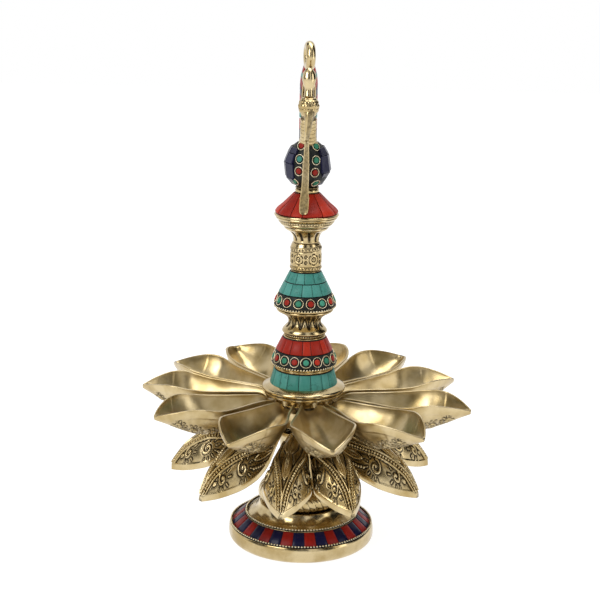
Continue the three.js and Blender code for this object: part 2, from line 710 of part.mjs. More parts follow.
function makeStem() {
  const lowerTop = makeInlaidCone(
    "lower_cone_core",
    collarDeck + GAP,
    LOWER_CONE_RADIUS - BAND_THICKNESS - GAP,
    0,
    [
      {
        name: "lower_cone_chips",
        bottomRadius: LOWER_CONE_RADIUS,
        topRadius: LOWER_CONE_TOP_RADIUS,
        height: LOWER_CONE_HEIGHT,
        material: turquoise(),
      },
    ],
    LOWER_CONE_CAP,
  );
  const redBase = lowerTop + GAP;
  const redPlinthRadius = RED_CONE_RADIUS - 2 * RIM_WIRE_RADIUS - GAP;
  const redTop = makeInlaidCone(
    "red_cone_core",
    redBase,
    redPlinthRadius,
    RED_CONE_PLINTH,
    [
      {
        name: "red_cone_dot_band",
        bottomRadius: RED_CONE_RADIUS,
        topRadius: RED_CONE_MIDDLE_RADIUS,
        height: RED_DOT_BAND_HEIGHT,
        material: resin(),
      },
      {
        name: "red_cone_chips",
        bottomRadius: RED_CONE_MIDDLE_RADIUS,
        topRadius: RED_CONE_TOP_RADIUS,
        height: RED_CHIP_BAND_HEIGHT,
        material: coral(),
      },
    ],
    RED_CONE_CAP,
  );
  addRimWire("red_cone_bead", redPlinthRadius, redBase + RED_CONE_PLINTH);
  const spoolBase = redTop + GAP;
  const spoolTop = spoolBase + SPOOL_HEIGHT;
  const shoulder = SPOOL_FOOT_RADIUS - SPOOL_WAIST_RADIUS;
  const flare = SPOOL_TOP_RADIUS - SPOOL_WAIST_RADIUS;
  const spool = [
    [bore, spoolBase],
    [SPOOL_FOOT_RADIUS - 0.16 * shoulder, spoolBase],
    [SPOOL_FOOT_RADIUS, spoolBase + 0.08 * SPOOL_HEIGHT],
    [SPOOL_FOOT_RADIUS - 0.16 * shoulder, spoolBase + 0.165 * SPOOL_HEIGHT],
    [SPOOL_WAIST_RADIUS + 0.24 * shoulder, spoolBase + 0.28 * SPOOL_HEIGHT],
    [SPOOL_WAIST_RADIUS, spoolBase + 0.47 * SPOOL_HEIGHT],
    [SPOOL_WAIST_RADIUS + 0.23 * flare, spoolBase + 0.63 * SPOOL_HEIGHT],
    [SPOOL_WAIST_RADIUS + 0.63 * flare, spoolBase + 0.765 * SPOOL_HEIGHT],
    [SPOOL_WAIST_RADIUS + 0.89 * flare, spoolBase + 0.91 * SPOOL_HEIGHT],
    [SPOOL_TOP_RADIUS, spoolTop],
    [bore, spoolTop],
  ];
  addPiece("spool", turned(spool, SLIM_FACETS), brass());
  const blueBase = spoolTop + GAP;
  const bluePlinthRadius = BLUE_CONE_RADIUS - 2 * RIM_WIRE_RADIUS - GAP;
  const blueTop = makeInlaidCone(
    "turquoise_cone_core",
    blueBase,
    bluePlinthRadius,
    BLUE_CONE_PLINTH,
    [
      {
        name: "turquoise_cone_dot_band",
        bottomRadius: BLUE_CONE_RADIUS,
        topRadius: BLUE_CONE_MIDDLE_RADIUS,
        height: BLUE_DOT_BAND_HEIGHT,
        material: resin(),
      },
      {
        name: "turquoise_cone_chips",
        bottomRadius: BLUE_CONE_MIDDLE_RADIUS,
        topRadius: BLUE_CONE_TOP_RADIUS,
        height: BLUE_CHIP_BAND_HEIGHT,
        material: turquoise(),
      },
    ],
    BLUE_CONE_CAP,
  );
  addRimWire("turquoise_cone_bead", bluePlinthRadius, blueBase + BLUE_CONE_PLINTH);
  return blueTop;
}

// The beaded wire round a dotted cone's plinth
function addRimWire(name, plinthRadius, plinthTop) {
  const radius = plinthRadius + GAP + RIM_WIRE_RADIUS;
  const ring = new THREE.TorusGeometry(radius, RIM_WIRE_RADIUS, 4, BEAD_FACETS);
  addPiece(name, facingOut(ring), brass()).position.z = plinthTop - RIM_WIRE_RADIUS;
}

function makeBarrel(base) {
  const barrel = [
    [bore, base],
    [BARREL_RADIUS, base],
    [1.03 * BARREL_RADIUS, base + 0.06 * BARREL_HEIGHT],
    [BARREL_RADIUS, base + 0.14 * BARREL_HEIGHT],
    [0.95 * BARREL_RADIUS, base + 0.5 * BARREL_HEIGHT],
    [BARREL_RADIUS, base + 0.8 * BARREL_HEIGHT],
    [0.94 * BARREL_RADIUS, base + 0.89 * BARREL_HEIGHT],
    [BARREL_NECK_RADIUS, base + BARREL_HEIGHT],
    [bore, base + BARREL_HEIGHT],
  ];
  addPiece("engraved_barrel", turned(barrel, SLIM_FACETS), brass());
  return base + BARREL_HEIGHT;
}

// The cup flares in rounded steps up to its rim, and its top is the cone under the canopy.
// The tie rod ends in it from below, and the bird's stud screws into it from above.
function makeCup(base) {
  const rimBase = base + CUP_HEIGHT - CUP_RIM_HEIGHT;
  const canopyBase = base + CUP_HEIGHT;
  const canopyTop = canopyBase + CANOPY_HEIGHT;
  const footRadius = BARREL_NECK_RADIUS + 0.5;
  const stepRise = (rimBase - base) / CUP_STEPS;
  const cup = [
    [0, base + ROD_IN_CUP + GAP],
    [bore, base + ROD_IN_CUP + GAP],
    [bore, base],
    [footRadius - 0.8, base],
  ];
  for (let k = 0; k < CUP_STEPS; k++) {
    const flare = ((k + 0.5) / CUP_STEPS) ** 0.9;
    const radius = footRadius + (CUP_RADIUS - footRadius) * flare;
    cup.push([radius, base + (k + 0.55) * stepRise]);
    cup.push([radius, base + (k + 0.95) * stepRise]);
  }
  const coneRadius = CANOPY_RADIUS - CANOPY_THICKNESS - GAP;
  const coneTopRadius = CANOPY_TOP_RADIUS - CANOPY_THICKNESS - GAP;
  const studFloor = canopyTop - STUD_IN_CUP - GAP;
  const studBore = STUD_RADIUS + GAP;
  cup.push(
    [CUP_RADIUS, rimBase + 0.35 * CUP_RIM_HEIGHT],
    [CUP_RADIUS, canopyBase - 0.2 * CUP_RIM_HEIGHT],
    [CUP_RADIUS - 0.27 * CUP_RIM_HEIGHT, canopyBase],
    [coneRadius, canopyBase],
    [coneTopRadius, canopyTop],
    [studBore, canopyTop],
    [studBore, studFloor],
    [0, studFloor],
  );
  addPiece("stepped_cup", turned(cup, SLIM_FACETS), brass());
  const canopy = [
    [CANOPY_RADIUS, canopyBase + GAP],
    [CANOPY_TOP_RADIUS, canopyTop],
    [CANOPY_TOP_RADIUS - CANOPY_THICKNESS + GAP, canopyTop],
    [CANOPY_RADIUS - CANOPY_THICKNESS + GAP, canopyBase + GAP],
  ];
  addPiece("canopy_chips", turned(canopy, WIDE_FACETS), coral());
  return canopyTop;
}

function makeTieRod(cupBase) {
  const washerBase = underDeck - GAP - WASHER_THICKNESS;
  const nutBase = washerBase - GAP - NUT_HEIGHT;
  addDisc("foot_washer", bore, WASHER_RADIUS, washerBase, WASHER_THICKNESS, steel());
  const hexagon = solidOf(cylinder(NUT_RADIUS, nutBase, nutBase + NUT_HEIGHT, 6));
  const hole = solidOf(cylinder(bore, nutBase - 1, washerBase, SLIM_FACETS));
  addPiece("foot_nut", geometryOf(hexagon.subtract(hole)), steel());
  const rod = cylinder(ROD_RADIUS, nutBase - ROD_TAIL, cupBase + ROD_IN_CUP, ROD_FACETS);
  addPiece("tie_rod", rod, steel());
}

// A swept piece in the bird's middle plane. Each section is [y, z, half depth, half width],
// and outline holds the section's corners on a unit square, as [depth, width].
function swept(sections, outline, offset = 0) {
  const centres = sections.map(([y, z]) => new THREE.Vector2(y, z));
  const rings = sections.map(([y, z, depth, width], k) => {
    const before = centres[Math.max(0, k - 1)];
    const after = centres[Math.min(centres.length - 1, k + 1)];
    const along = after.clone().sub(before).normalize();
    return outline.map(([u, v]) => [
      offset + v * width,
      y - along.y * u * depth,
      z + along.x * u * depth,
    ]);
  });
  return skinned(rings);
}

const roundOutline = (corners) =>
  Array.from({ length: corners }, (_, k) => {
    const angle = ((k + 0.5) / corners) * 2 * Math.PI;
    return [Math.cos(angle), Math.sin(angle)];
  });
const squareOutline = [
  [1, 1],
  [-1, 1],
  [-1, -1],
  [1, -1],
];

function ellipsoid(width, length, height) {
  const ball = new THREE.SphereGeometry(1, BODY_FACETS, BODY_FACETS - 4);
  return solidOf(ball.rotateX(Math.PI / 2).scale(width, length, height));
}

// The bird stands on its stud and seat, and everything on it turns and rises with the stud
function makeBird(canopyTop) {
  const seatBase = canopyTop + GAP;
  const base = seatBase + SEAT_HEIGHT + GAP;
  const studBore = STUD_RADIUS + GAP;
  addDisc("bird_seat", studBore, SEAT_RADIUS, seatBase, SEAT_HEIGHT, brass());
  const stud = cylinder(STUD_RADIUS, canopyTop - STUD_IN_CUP, base + STUD_IN_BIRD, ROD_FACETS);
  addPiece("bird_stud", stud, brass());

  const heart = [0, BODY_BACK, base + BODY_HALF_HEIGHT + GAP];
  const bodyLike = (extra) =>
    ellipsoid(BODY_HALF_WIDTH + extra, BODY_HALF_LENGTH + extra, BODY_HALF_HEIGHT + extra).translate(
      heart,
    );
  const foot = solidOf(
    turned(
      [
        [0, base],
        [BODY_FOOT_RADIUS, base],
        [0.88 * BODY_FOOT_RADIUS, base + BODY_FOOT_HEIGHT],
        [0, base + BODY_FOOT_HEIGHT],
      ],
      SLIM_FACETS,
    ),
  );
  const holeTop = base + STUD_IN_BIRD + GAP;
  const studHole = solidOf(cylinder(studBore, base - 1, holeTop, SLIM_FACETS));
  const body = bodyLike(0).add(foot).subtract(studHole);
  addPiece("peacock_body", geometryOf(body), resin());

  const wings = bodyLike(GAP + WING_THICKNESS).subtract(bodyLike(GAP));
  const sideWidth = 2 * BODY_HALF_WIDTH;
  const side = new THREE.BoxGeometry(sideWidth, 4 * BODY_HALF_LENGTH, 4 * BODY_HALF_HEIGHT);
  for (const [name, sign] of [
    ["wing_inlay_left", -1],
    ["wing_inlay_right", 1],
  ]) {
    const sideAt = sign * (WING_INSET + sideWidth / 2);
    const half = solidOf(side.clone()).translate([sideAt, heart[1], heart[2]]);
    addPiece(name, geometryOf(wings.intersect(half)), lapis());
  }

  const headCentre = [0, -HEAD_FORWARD, base + HEAD_LIFT];
  const headLike = (extra) =>
    ellipsoid(HEAD_HALF_WIDTH + extra, HEAD_HALF_LENGTH + extra, HEAD_HALF_HEIGHT + extra).translate(
      headCentre,
    );
  const tipLevel = headCentre[2] - BEAK_LENGTH;
  const beakFront = HEAD_FORWARD + BEAK_FORWARD;
  const beakLike = (extra) =>
    solidOf(
      swept(
        [
          [-beakFront, headCentre[2] - 0.05 * BEAK_LENGTH, 3.6 + extra, 3.6 + extra],
          [-beakFront - 0.6, headCentre[2] - 0.4 * BEAK_LENGTH, 2.6 + extra, 2.9 + extra],
          [-beakFront - 0.2, headCentre[2] - 0.7 * BEAK_LENGTH, 2 + extra, 2.2 + extra],
          [-beakFront + 0.6, tipLevel, 1.1 + extra, 1.5 + extra],
        ],
        roundOutline(BEAK_FACETS),
      ),
    );
  addPiece("peacock_head", geometryOf(headLike(0).add(beakLike(0))), brass());

  const neckRise = HEAD_LIFT - NECK_ROOT_LIFT - 1.2;
  const neckRun = HEAD_FORWARD - NECK_ROOT_FORWARD - 1.9;
  const neckShape = [
    [0, 0, 7.4, 5.9],
    [0.56, 0.25, 6.6, 5.6],
    [0.69, 0.5, 5.6, 5.3],
    [0.77, 0.75, 5, 5.2],
    [1, 1, 4.6, 5],
  ];
  const neck = swept(
    neckShape.map(([run, rise, depth, width]) => [
      -NECK_ROOT_FORWARD - run * neckRun,
      base + NECK_ROOT_LIFT + rise * neckRise,
      depth,
      width,
    ]),
    roundOutline(NECK_FACETS),
  );
  const neckSolid = solidOf(neck).subtract(bodyLike(GAP)).subtract(headLike(GAP));
  addPiece("peacock_neck", geometryOf(neckSolid.subtract(beakLike(2 * GAP))), brass());

  const crestBase = headCentre[2] + HEAD_HALF_HEIGHT + GAP;
  const crestShape = [
    [0, 0.6],
    [0.25, 0.48],
    [0.37, 0.78],
    [0.61, 1],
    [0.85, 0.81],
    [1, 0.3],
  ];
  const crest = swept(
    crestShape.map(([rise, swell]) => [
      -HEAD_FORWARD + 2 * rise,
      crestBase + rise * CREST_HEIGHT,
      swell * CREST_BULB_RADIUS,
      swell * CREST_BULB_RADIUS,
    ]),
    roundOutline(CREST_FACETS),
  );
  addPiece("peacock_crest", crest, brass());

  // The strand hangs from the beak's tip to just clear of the canopy's edge
  const strandTop = tipLevel - GAP;
  const strandFoot = canopyTop - CANOPY_HEIGHT + STRAND_FOOT_LIFT;
  const strandLength = strandTop - strandFoot;
  const strandInner = CANOPY_RADIUS + 0.1;
  const strandShape = [
    [-beakFront + 0.6, 1, 0.45],
    [-strandInner - 1.2, 0.66, 0.59],
    [-strandInner - 1, 0.34, 0.72],
    [-strandInner - 0.4, 0.2, 0.93],
    [-strandInner, 0, 1],
  ];
  const strand = swept(
    strandShape.map(([y, rise, width]) => [
      y,
      strandFoot + rise * strandLength,
      STRAND_HALF_THICKNESS,
      width * STRAND_HALF_WIDTH,
    ]),
    squareOutline,
  );
  addPiece("beak_strand", strand, brass());

  makeTail(base, bodyLike(GAP));
}

// The tail sweeps up and back from the body and curls forward over it to carry the loop
function makeTail(base, bodyClearance) {
  const tailTop = LOOP_LIFT - LOOP_RADIUS - 0.8 * LOOP_BAR_RADIUS;
  const centreline = [
    [0.353, 0.255, 0.72],
    [0.706, 0.316, 0.94],
    [0.956, 0.457, 1],
    [1, 0.632, 0.98],
    [0.824, 0.807, 0.91],
    [0.5, 0.934, 0.76],
    [0.147, 0.988, 0.51],
    [-0.103, 1, 0.33],
  ];
  const plateSections = (inset, halfWidth) =>
    centreline.map(([back, rise, half]) => [
      back * TAIL_REACH,
      base + rise * tailTop,
      half * TAIL_HALF_DEPTH - inset,
      halfWidth,
    ]);
  const loop = new THREE.TorusGeometry(LOOP_RADIUS, LOOP_BAR_RADIUS, 8, SLIM_FACETS);
  const loopCut = new THREE.TorusGeometry(LOOP_RADIUS, LOOP_BAR_RADIUS + GAP, 8, SLIM_FACETS);
  const placeLoop = (ring) =>
    ring
      .rotateY(Math.PI / 2)
      .rotateZ(LOOP_TURN * degrees)
      .translate(0, 0, base + LOOP_LIFT);
  let plate = solidOf(swept(plateSections(0, TAIL_HALF_THICKNESS), squareOutline));
  plate = plate.subtract(bodyClearance).subtract(solidOf(placeLoop(loopCut)));
  const inlayHalf = TAIL_INLAY_THICKNESS / 2;
  const pocketDepth = TAIL_INLAY_THICKNESS + GAP;
  const inlaySections = plateSections(TAIL_BORDER + GAP, inlayHalf).slice(1, -1);
  const pocketSections = plateSections(TAIL_BORDER, pocketDepth).slice(1, -1);
  for (const [name, sign] of [
    ["tail_inlay_left", -1],
    ["tail_inlay_right", 1],
  ]) {
    const pocket = solidOf(swept(pocketSections, squareOutline, sign * TAIL_HALF_THICKNESS));
    plate = plate.subtract(pocket);
    const inlayAt = sign * (TAIL_HALF_THICKNESS - inlayHalf);
    const inlay = solidOf(swept(inlaySections, squareOutline, inlayAt));
    addPiece(name, geometryOf(inlay.subtract(bodyClearance)), coral());
  }
  addPiece("tail_plate", geometryOf(plate), brass());
  addPiece("hanging_loop", facingOut(placeLoop(loop)), brass());
}

makeFoot();
makeGadroonRing();
makeNeckAndHub();
makePetals();
makeDripCollar();
const stemTop = makeStem();
const barrelTop = makeBarrel(stemTop + GAP);
const cupBase = barrelTop + GAP;
const canopyTop = makeCup(cupBase);
makeTieRod(cupBase);
makeBird(canopyTop);

export default part;
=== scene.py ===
"""The hanging peacock diya: finished surfaces round its packed construction.

Lengths are millimetres up to the point where a mesh is made, and metres in Blender itself.
The bird looks along -Y, and an azimuth turns from -Y towards +X, seen from above.
"""

import logging
import math
from dataclasses import dataclass, field, replace
from enum import Enum
from functools import cache
from typing import Callable, Optional, Sequence

import bmesh
import bpy
import numpy as np
from mathutils import Matrix, Vector


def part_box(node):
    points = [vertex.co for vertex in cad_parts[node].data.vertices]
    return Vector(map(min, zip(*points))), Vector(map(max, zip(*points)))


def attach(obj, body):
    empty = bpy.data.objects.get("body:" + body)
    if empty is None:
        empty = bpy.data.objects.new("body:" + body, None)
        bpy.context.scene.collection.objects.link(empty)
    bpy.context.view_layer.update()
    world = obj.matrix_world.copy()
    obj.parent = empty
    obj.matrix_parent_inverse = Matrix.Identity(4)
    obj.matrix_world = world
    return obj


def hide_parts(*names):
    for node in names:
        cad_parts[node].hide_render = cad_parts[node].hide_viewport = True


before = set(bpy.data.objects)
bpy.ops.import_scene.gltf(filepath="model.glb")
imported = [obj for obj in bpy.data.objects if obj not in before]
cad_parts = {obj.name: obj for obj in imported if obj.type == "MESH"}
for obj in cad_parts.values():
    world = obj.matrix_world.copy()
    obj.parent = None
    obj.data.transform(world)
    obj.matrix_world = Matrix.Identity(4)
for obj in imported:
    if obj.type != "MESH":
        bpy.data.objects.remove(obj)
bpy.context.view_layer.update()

MM = 0.001
FULL_TURN = 2.0 * math.pi
IMAGE_WIDTH = 600
# Millimetres that the construction leaves between nodes that touch in reality
CLEARANCE = 0.3

logging.basicConfig(level=logging.INFO, format="%(message)s")
log = logging.getLogger("diya")

Array = np.ndarray
Thing = bpy.types.Object
Tree = bpy.types.NodeTree
# Corners and faces of a small closed shape
Form = tuple[Array, Array]


class Body(Enum):
    """The moving bodies of the construction."""

    LAMP = "lamp"
    SEAT = "bird_seat"
    BIRD = "peacock"


class Slot(Enum):
    """The record's material slots."""

    BRASS = "cast_brass"
    STEEL = "fastener_steel"
    TURQUOISE = "turquoise_chips"
    CORAL = "coral_chips"
    LAPIS = "lapis_chips"
    FOOT_CHIPS = "coral_and_lapis_chips"
    RESIN = "black_resin"


# Nodes and colours


def node(tree: Tree, kind: str, inputs: Optional[dict] = None, **settings) -> bpy.types.Node:
    """Adds one node with its settings, input values and links.

    Args:
        tree: The node tree it goes into.
        kind: Blender's type name of the node.
        inputs: For each input, by name or number, a value, an output socket, or a node, which
            stands for its first output.
        **settings: Properties of the node itself.

    Returns:
        The new node.
    """
    made = tree.nodes.new(kind)
    for key, value in settings.items():
        setattr(made, key, value)
    for key, value in (inputs or {}).items():
        if isinstance(value, bpy.types.Node):
            value = value.outputs[0]
        if isinstance(value, bpy.types.NodeSocket):
            tree.links.new(value, made.inputs[key])
        else:
            made.inputs[key].default_value = value
    return made


def linear(colour: str) -> tuple[float, float, float, float]:
    """An sRGB hex colour as linear red, green, blue and alpha."""
    parts = [int(colour[k : k + 2], 16) / 255 for k in (1, 3, 5)]
    return (*[p / 12.92 if p <= 0.04045 else ((p + 0.055) / 1.055) ** 2.4 for p in parts], 1.0)


def per_metre(size: float) -> float:
    """Texture scale at which one feature of a pattern measures size millimetres."""
    return 1.0 / (size * MM)


# Finishes


@dataclass(frozen=True)
class Finish:
    """What every finish shares: the record's slot, and a principled surface of its own sockets."""

    name: str
    slot: Slot = Slot.BRASS

    def sockets(self, tree: Tree, place: bpy.types.NodeSocket) -> dict:
        """Inputs of the principled surface."""
        raise NotImplementedError

    def material(self) -> bpy.types.Material:
        """Builds the node material."""
        made = bpy.data.materials.new(self.name)
        made.use_nodes = True
        tree = made.node_tree
        tree.nodes.clear()
        place = node(tree, "ShaderNodeTexCoord").outputs["Object"]
        surface = node(tree, "ShaderNodeBsdfPrincipled", self.sockets(tree, place))
        node(tree, "ShaderNodeOutputMaterial", {"Surface": surface})
        return made


@dataclass(frozen=True)
class CastBrass(Finish):
    """Sand-cast yellow brass, filed and buffed by hand, with patina left in its recesses.

    Hand work leaves the surface slightly wavy, so its reflections wander.
    """

    bright: str = "#CDBA90"
    dull: str = "#AD9664"
    patina: str = "#2A1E0B"
    roughness: float = 0.2
    patina_roughness: float = 0.6
    wave: float = 0.5
    wave_size: float = 9.0
    grain: float = 0.012
    grain_size: float = 0.7
    speckle_size: float = 1.6
    mottle_size: float = 14.0

    def sockets(self, tree: Tree, place: bpy.types.NodeSocket) -> dict:
        """Mottled metal that turns to patina where the wear attribute is low; on the beak that darkening is
        painted shade.
        """
        spread = "ShaderNodeMapRange"
        noise = {}
        for label, size, detail in (
            ("mottle", self.mottle_size, 4.0), ("speckle", self.speckle_size, 3.0),
            ("wave", self.wave_size, 1.0), ("grain", self.grain_size, 3.0),
        ):
            values = {"Vector": place, "Scale": per_metre(size), "Detail": detail}
            noise[label] = node(tree, "ShaderNodeTexNoise", values)
        tone = node(tree, spread, {"Value": noise["mottle"], "From Min": 0.35, "From Max": 0.65})
        colours = {0: tone, 6: linear(self.dull), 7: linear(self.bright)}
        metal = node(tree, "ShaderNodeMix", colours, data_type="RGBA").outputs[2]
        wear_and_shade = node(tree, "ShaderNodeAttribute", attribute_name="wear_and_shade").outputs["Fac"]
        values = {0: noise["speckle"], 1: 0.5, 2: wear_and_shade}
        uneven = node(tree, "ShaderNodeMath", values, operation="MULTIPLY_ADD")
        limits = {"Value": uneven, "From Min": 0.4, "From Max": 1.1}
        clean = node(tree, spread, limits, interpolation_type="SMOOTHSTEP")
        colours = {0: clean, 6: linear(self.patina), 7: metal}
        colour = node(tree, "ShaderNodeMix", colours, data_type="RGBA").outputs[2]
        limits = {"Value": clean, "To Min": self.patina_roughness, "To Max": self.roughness - 0.04}
        values = {0: noise["mottle"], 1: 0.08, 2: node(tree, spread, limits)}
        rough = node(tree, "ShaderNodeMath", values, operation="MULTIPLY_ADD")
        broad = node(tree, "ShaderNodeBump", {"Height": noise["wave"], "Distance": self.wave * MM})
        heights = {"Height": noise["grain"], "Distance": self.grain * MM, "Normal": broad}
        fine = node(tree, "ShaderNodeBump", heights)
        lacquer = {"Coat Weight": 0.25, "Coat Roughness": 0.15}
        metal = {"Base Color": colour, "Metallic": 1.0, "Roughness": rough, "Normal": fine}
        return {**metal, **lacquer}


@dataclass(frozen=True)
class ChipStone(Finish):
    """Powdered stone bound with resin, sawn into chips, set and ground flush.

    Each chip has its own tone, with faint clouds and a few dark veins.
    """

    pale: str = "#FFFFFF"
    deep: str = "#000000"
    vein: str = "#26332E"
    roughness: float = 0.42
    cloud_size: float = 3.0
    vein_size: float = 5.0
    vein_reach: float = 0.018

    def sockets(self, tree: Tree, place: bpy.types.NodeSocket) -> dict:
        """Clouded stone, whose tone comes from the attribute tone of each chip."""
        noise = "ShaderNodeTexNoise"
        spread = "ShaderNodeMapRange"
        tone = node(tree, "ShaderNodeAttribute", attribute_name="tone").outputs["Fac"]
        size = per_metre(self.cloud_size)
        cloud = node(tree, noise, {"Vector": place, "Scale": size, "Detail": 4.0})
        blend = node(tree, "ShaderNodeMath", {0: cloud, 1: 0.7, 2: tone}, operation="MULTIPLY_ADD")
        share = node(tree, spread, {"Value": blend, "From Min": 0.2, "From Max": 1.5})
        colours = {0: share, 6: linear(self.deep), 7: linear(self.pale)}
        stone = node(tree, "ShaderNodeMix", colours, data_type="RGBA").outputs[2]
        size = per_metre(self.vein_size)
        values = {"Vector": place, "Scale": size, "Detail": 6.0, "Distortion": 0.6}
        crack = node(tree, noise, values)
        apart = node(tree, "ShaderNodeMath", {0: crack, 1: 0.5}, operation="SUBTRACT")
        beside = node(tree, "ShaderNodeMath", {0: apart}, operation="ABSOLUTE")
        limits = {"Value": beside, "From Min": 0.0, "From Max": self.vein_reach, "To Min": 0.5}
        line = node(tree, spread, {**limits, "To Max": 0.0})
        gate = node(tree, noise, {"Vector": place, "Scale": per_metre(11.0), "Detail": 1.0})
        some = node(tree, spread, {"Value": gate, "From Min": 0.48, "From Max": 0.6})
        strength = node(tree, "ShaderNodeMath", {0: line, 1: some}, operation="MULTIPLY")
        colours = {0: strength, 6: stone, 7: linear(self.vein)}
        colour = node(tree, "ShaderNodeMix", colours, data_type="RGBA").outputs[2]
        bump = node(tree, "ShaderNodeBump", {"Height": cloud, "Distance": 0.06 * MM})
        return {"Base Color": colour, "Roughness": self.roughness, "Normal": bump,
                "Specular IOR Level": 0.2}


@dataclass(frozen=True)
class Resin(Finish):
    """Black lac resin that chips and wires are bedded in: dusty, half polished, a little lumpy."""

    colour: str = "#151917"
    dust: str = "#3A3B32"
    roughness: float = 0.5

    def sockets(self, tree: Tree, place: bpy.types.NodeSocket) -> dict:
        """Black with a paler dust in patches."""
        values = {"Vector": place, "Scale": per_metre(1.8), "Detail": 4.0}
        cloud = node(tree, "ShaderNodeTexNoise", values)
        limits = {"Value": cloud, "From Min": 0.5, "From Max": 0.85}
        share = node(tree, "ShaderNodeMapRange", limits)
        colours = {0: share, 6: linear(self.colour), 7: linear(self.dust)}
        colour = node(tree, "ShaderNodeMix", colours, data_type="RGBA").outputs[2]
        bump = node(tree, "ShaderNodeBump", {"Height": cloud, "Distance": 0.1 * MM})
        return {"Base Color": colour, "Roughness": self.roughness, "Normal": bump,
                "Specular IOR Level": 0.2}


SATIN_BRASS = CastBrass("satin_brass")
PETAL_BRASS = CastBrass("buffed_petal_brass", wave=0.7, wave_size=13.0, roughness=0.33)
CARVED_BRASS = CastBrass("carved_brass", wave=0.15, roughness=0.22)
# Brass painted dark: painted shade, for the foot ring in the shadow under the bird's body
BRASS_PAINTED_SHADE = CastBrass("brass_painted_shade", bright="#8A7346", dull="#4E4124", roughness=0.3)
# Wire brass painted almost white: a painted highlight, so that beads and hoops show bright
WIRE_BRASS_PAINTED_HIGHLIGHT = CastBrass("wire_brass_painted_highlight", bright="#F4E8C8", dull="#E8D8AE", roughness=0.4, wave=0.0)
ZINC_STEEL = CastBrass("zinc_plated_steel", Slot.STEEL, bright="#A9ABA8", dull="#8C8E8C",
                       patina="#3A3A38", roughness=0.36, wave=0.0)
TURQUOISE = ChipStone("turquoise_stone", Slot.TURQUOISE, "#569A90", "#347A6E", "#16302A",
                      vein_reach=0.03)
CORAL = ChipStone("coral_stone", Slot.CORAL, "#B63018", "#8A1A0C", "#3A1512", vein_reach=0.01)
DARK_CORAL = ChipStone("dark_coral_stone", Slot.FOOT_CHIPS, "#9C1C12", "#6E100A", "#3A1512")
LAPIS = ChipStone("lapis_stone", Slot.LAPIS, "#17173F", "#0B0B26", "#0B0B18", roughness=0.32)
MALACHITE = ChipStone("green_stone", Slot.TURQUOISE, "#46937A", "#2A7558", "#18382C")
LAC = Resin("black_lac_resin", Slot.RESIN)
STONES = {"coral": CORAL, "lapis": LAPIS, "turquoise": TURQUOISE, "green": MALACHITE}


# Curves and meshes


def smoothstep(low: float, high: float, value: float | Array) -> Array:
    """Rises smoothly from 0 at low to 1 at high."""
    t = np.clip((value - low) / (high - low), 0.0, 1.0)
    return t * t * (3.0 - 2.0 * t)


def spline(points: Sequence[Sequence[float]], steps: int = 8) -> Array:
    """A smooth curve through the points, with so many steps between each two."""
    given = np.asarray(points, float)
    ends = np.vstack([2 * given[0] - given[1], given, 2 * given[-1] - given[-2]])
    t = np.linspace(0, 1, steps, endpoint=False)[:, None]
    spans = []
    for k in range(1, len(ends) - 2):
        a, b, c, d = ends[k - 1 : k + 3]
        spans.append(
            b + 0.5 * t * (c - a) + t**2 * (a - 2.5 * b + 2 * c - 0.5 * d)
            + t**3 * (1.5 * (b - c) + 0.5 * (d - a))
        )
    return np.vstack([*spans, given[-1:]])


def smooth_value(points: Sequence[Sequence[float]], at: Array) -> Array:
    """The second value of the points, smoothly interpolated at places of their first."""
    curve = spline(points, 10)
    return np.interp(at, curve[:, 0], curve[:, 1])


def filleted(corners: Sequence[Sequence[float]], closed: bool = True, steps: int = 4) -> Array:
    """A profile whose corners are rounded.

    Args:
        corners: Radius, height and fillet length of each corner.
        closed: Whether the last corner joins the first.
        steps: Steps along each fillet.

    Returns:
        The profile's radii and heights.
    """
    made = []
    corners = [c for k, c in enumerate(corners) if k == 0 or math.dist(c[:2], corners[k - 1][:2]) > 1e-6]
    count = len(corners)
    for k, (radius, height, fillet) in enumerate(corners):
        here = np.array([radius, height])
        if not closed and k in (0, count - 1) or fillet <= 0:
            made.append(here)
            continue
        before = np.array(corners[k - 1][:2]) - here
        after = np.array(corners[(k + 1) % count][:2]) - here
        reach = min(fillet, 0.48 * np.linalg.norm(before), 0.48 * np.linalg.norm(after))
        start = here + before / np.linalg.norm(before) * reach
        end = here + after / np.linalg.norm(after) * reach
        for t in np.linspace(0, 1, steps + 1):
            made.append((1 - t) ** 2 * start + 2 * t * (1 - t) * here + t**2 * end)
    return np.array(made)


def grid_faces(rows: int, columns: int, wrap_rows: bool = False, wrap_columns: bool = True) -> Array:
    """Quads between neighbouring points of a grid that is stored row by row."""
    i = np.arange(rows if wrap_rows else rows - 1)[:, None]
    j = np.arange(columns if wrap_columns else columns - 1)[None, :]
    i_next = (i + 1) % rows
    j_next = (j + 1) % columns
    corners = [i * columns + j, i * columns + j_next, i_next * columns + j_next, i_next * columns + j]
    return np.stack([np.broadcast_to(c, (i.size, j.size)) for c in corners], -1).reshape(-1, 4)


def enclosed_volume(points: Array, quads: Array) -> float:
    """Signed volume inside a closed mesh of quads."""
    a, b, c, d = (points[quads[:, k]] for k in range(4))
    return float(np.einsum("ij,ij->", a, np.cross(b, c)) + np.einsum("ij,ij->", a, np.cross(c, d))) / 6


def about_stem(theta: Array, radius: Array, level: Array) -> Array:
    """Points at azimuths, radii and levels about the stem's axis."""
    theta, radius, level = np.broadcast_arrays(theta, radius, level)
    return np.stack([radius * np.sin(theta), -radius * np.cos(theta), level], -1)


def placed(name: str, data: bpy.types.ID) -> Thing:
    """A new object in the scene, which holds the data."""
    made = bpy.data.objects.new(name, data)
    bpy.context.scene.collection.objects.link(made)
    return made


def store(mesh: bpy.types.Mesh, label: str, values: Array) -> None:
    """Keeps a value for each corner of a mesh as an attribute."""
    layer = mesh.attributes.get(label) or mesh.attributes.new(label, "FLOAT", "POINT")
    layer.data.foreach_set("value", np.asarray(values, np.float32).ravel())


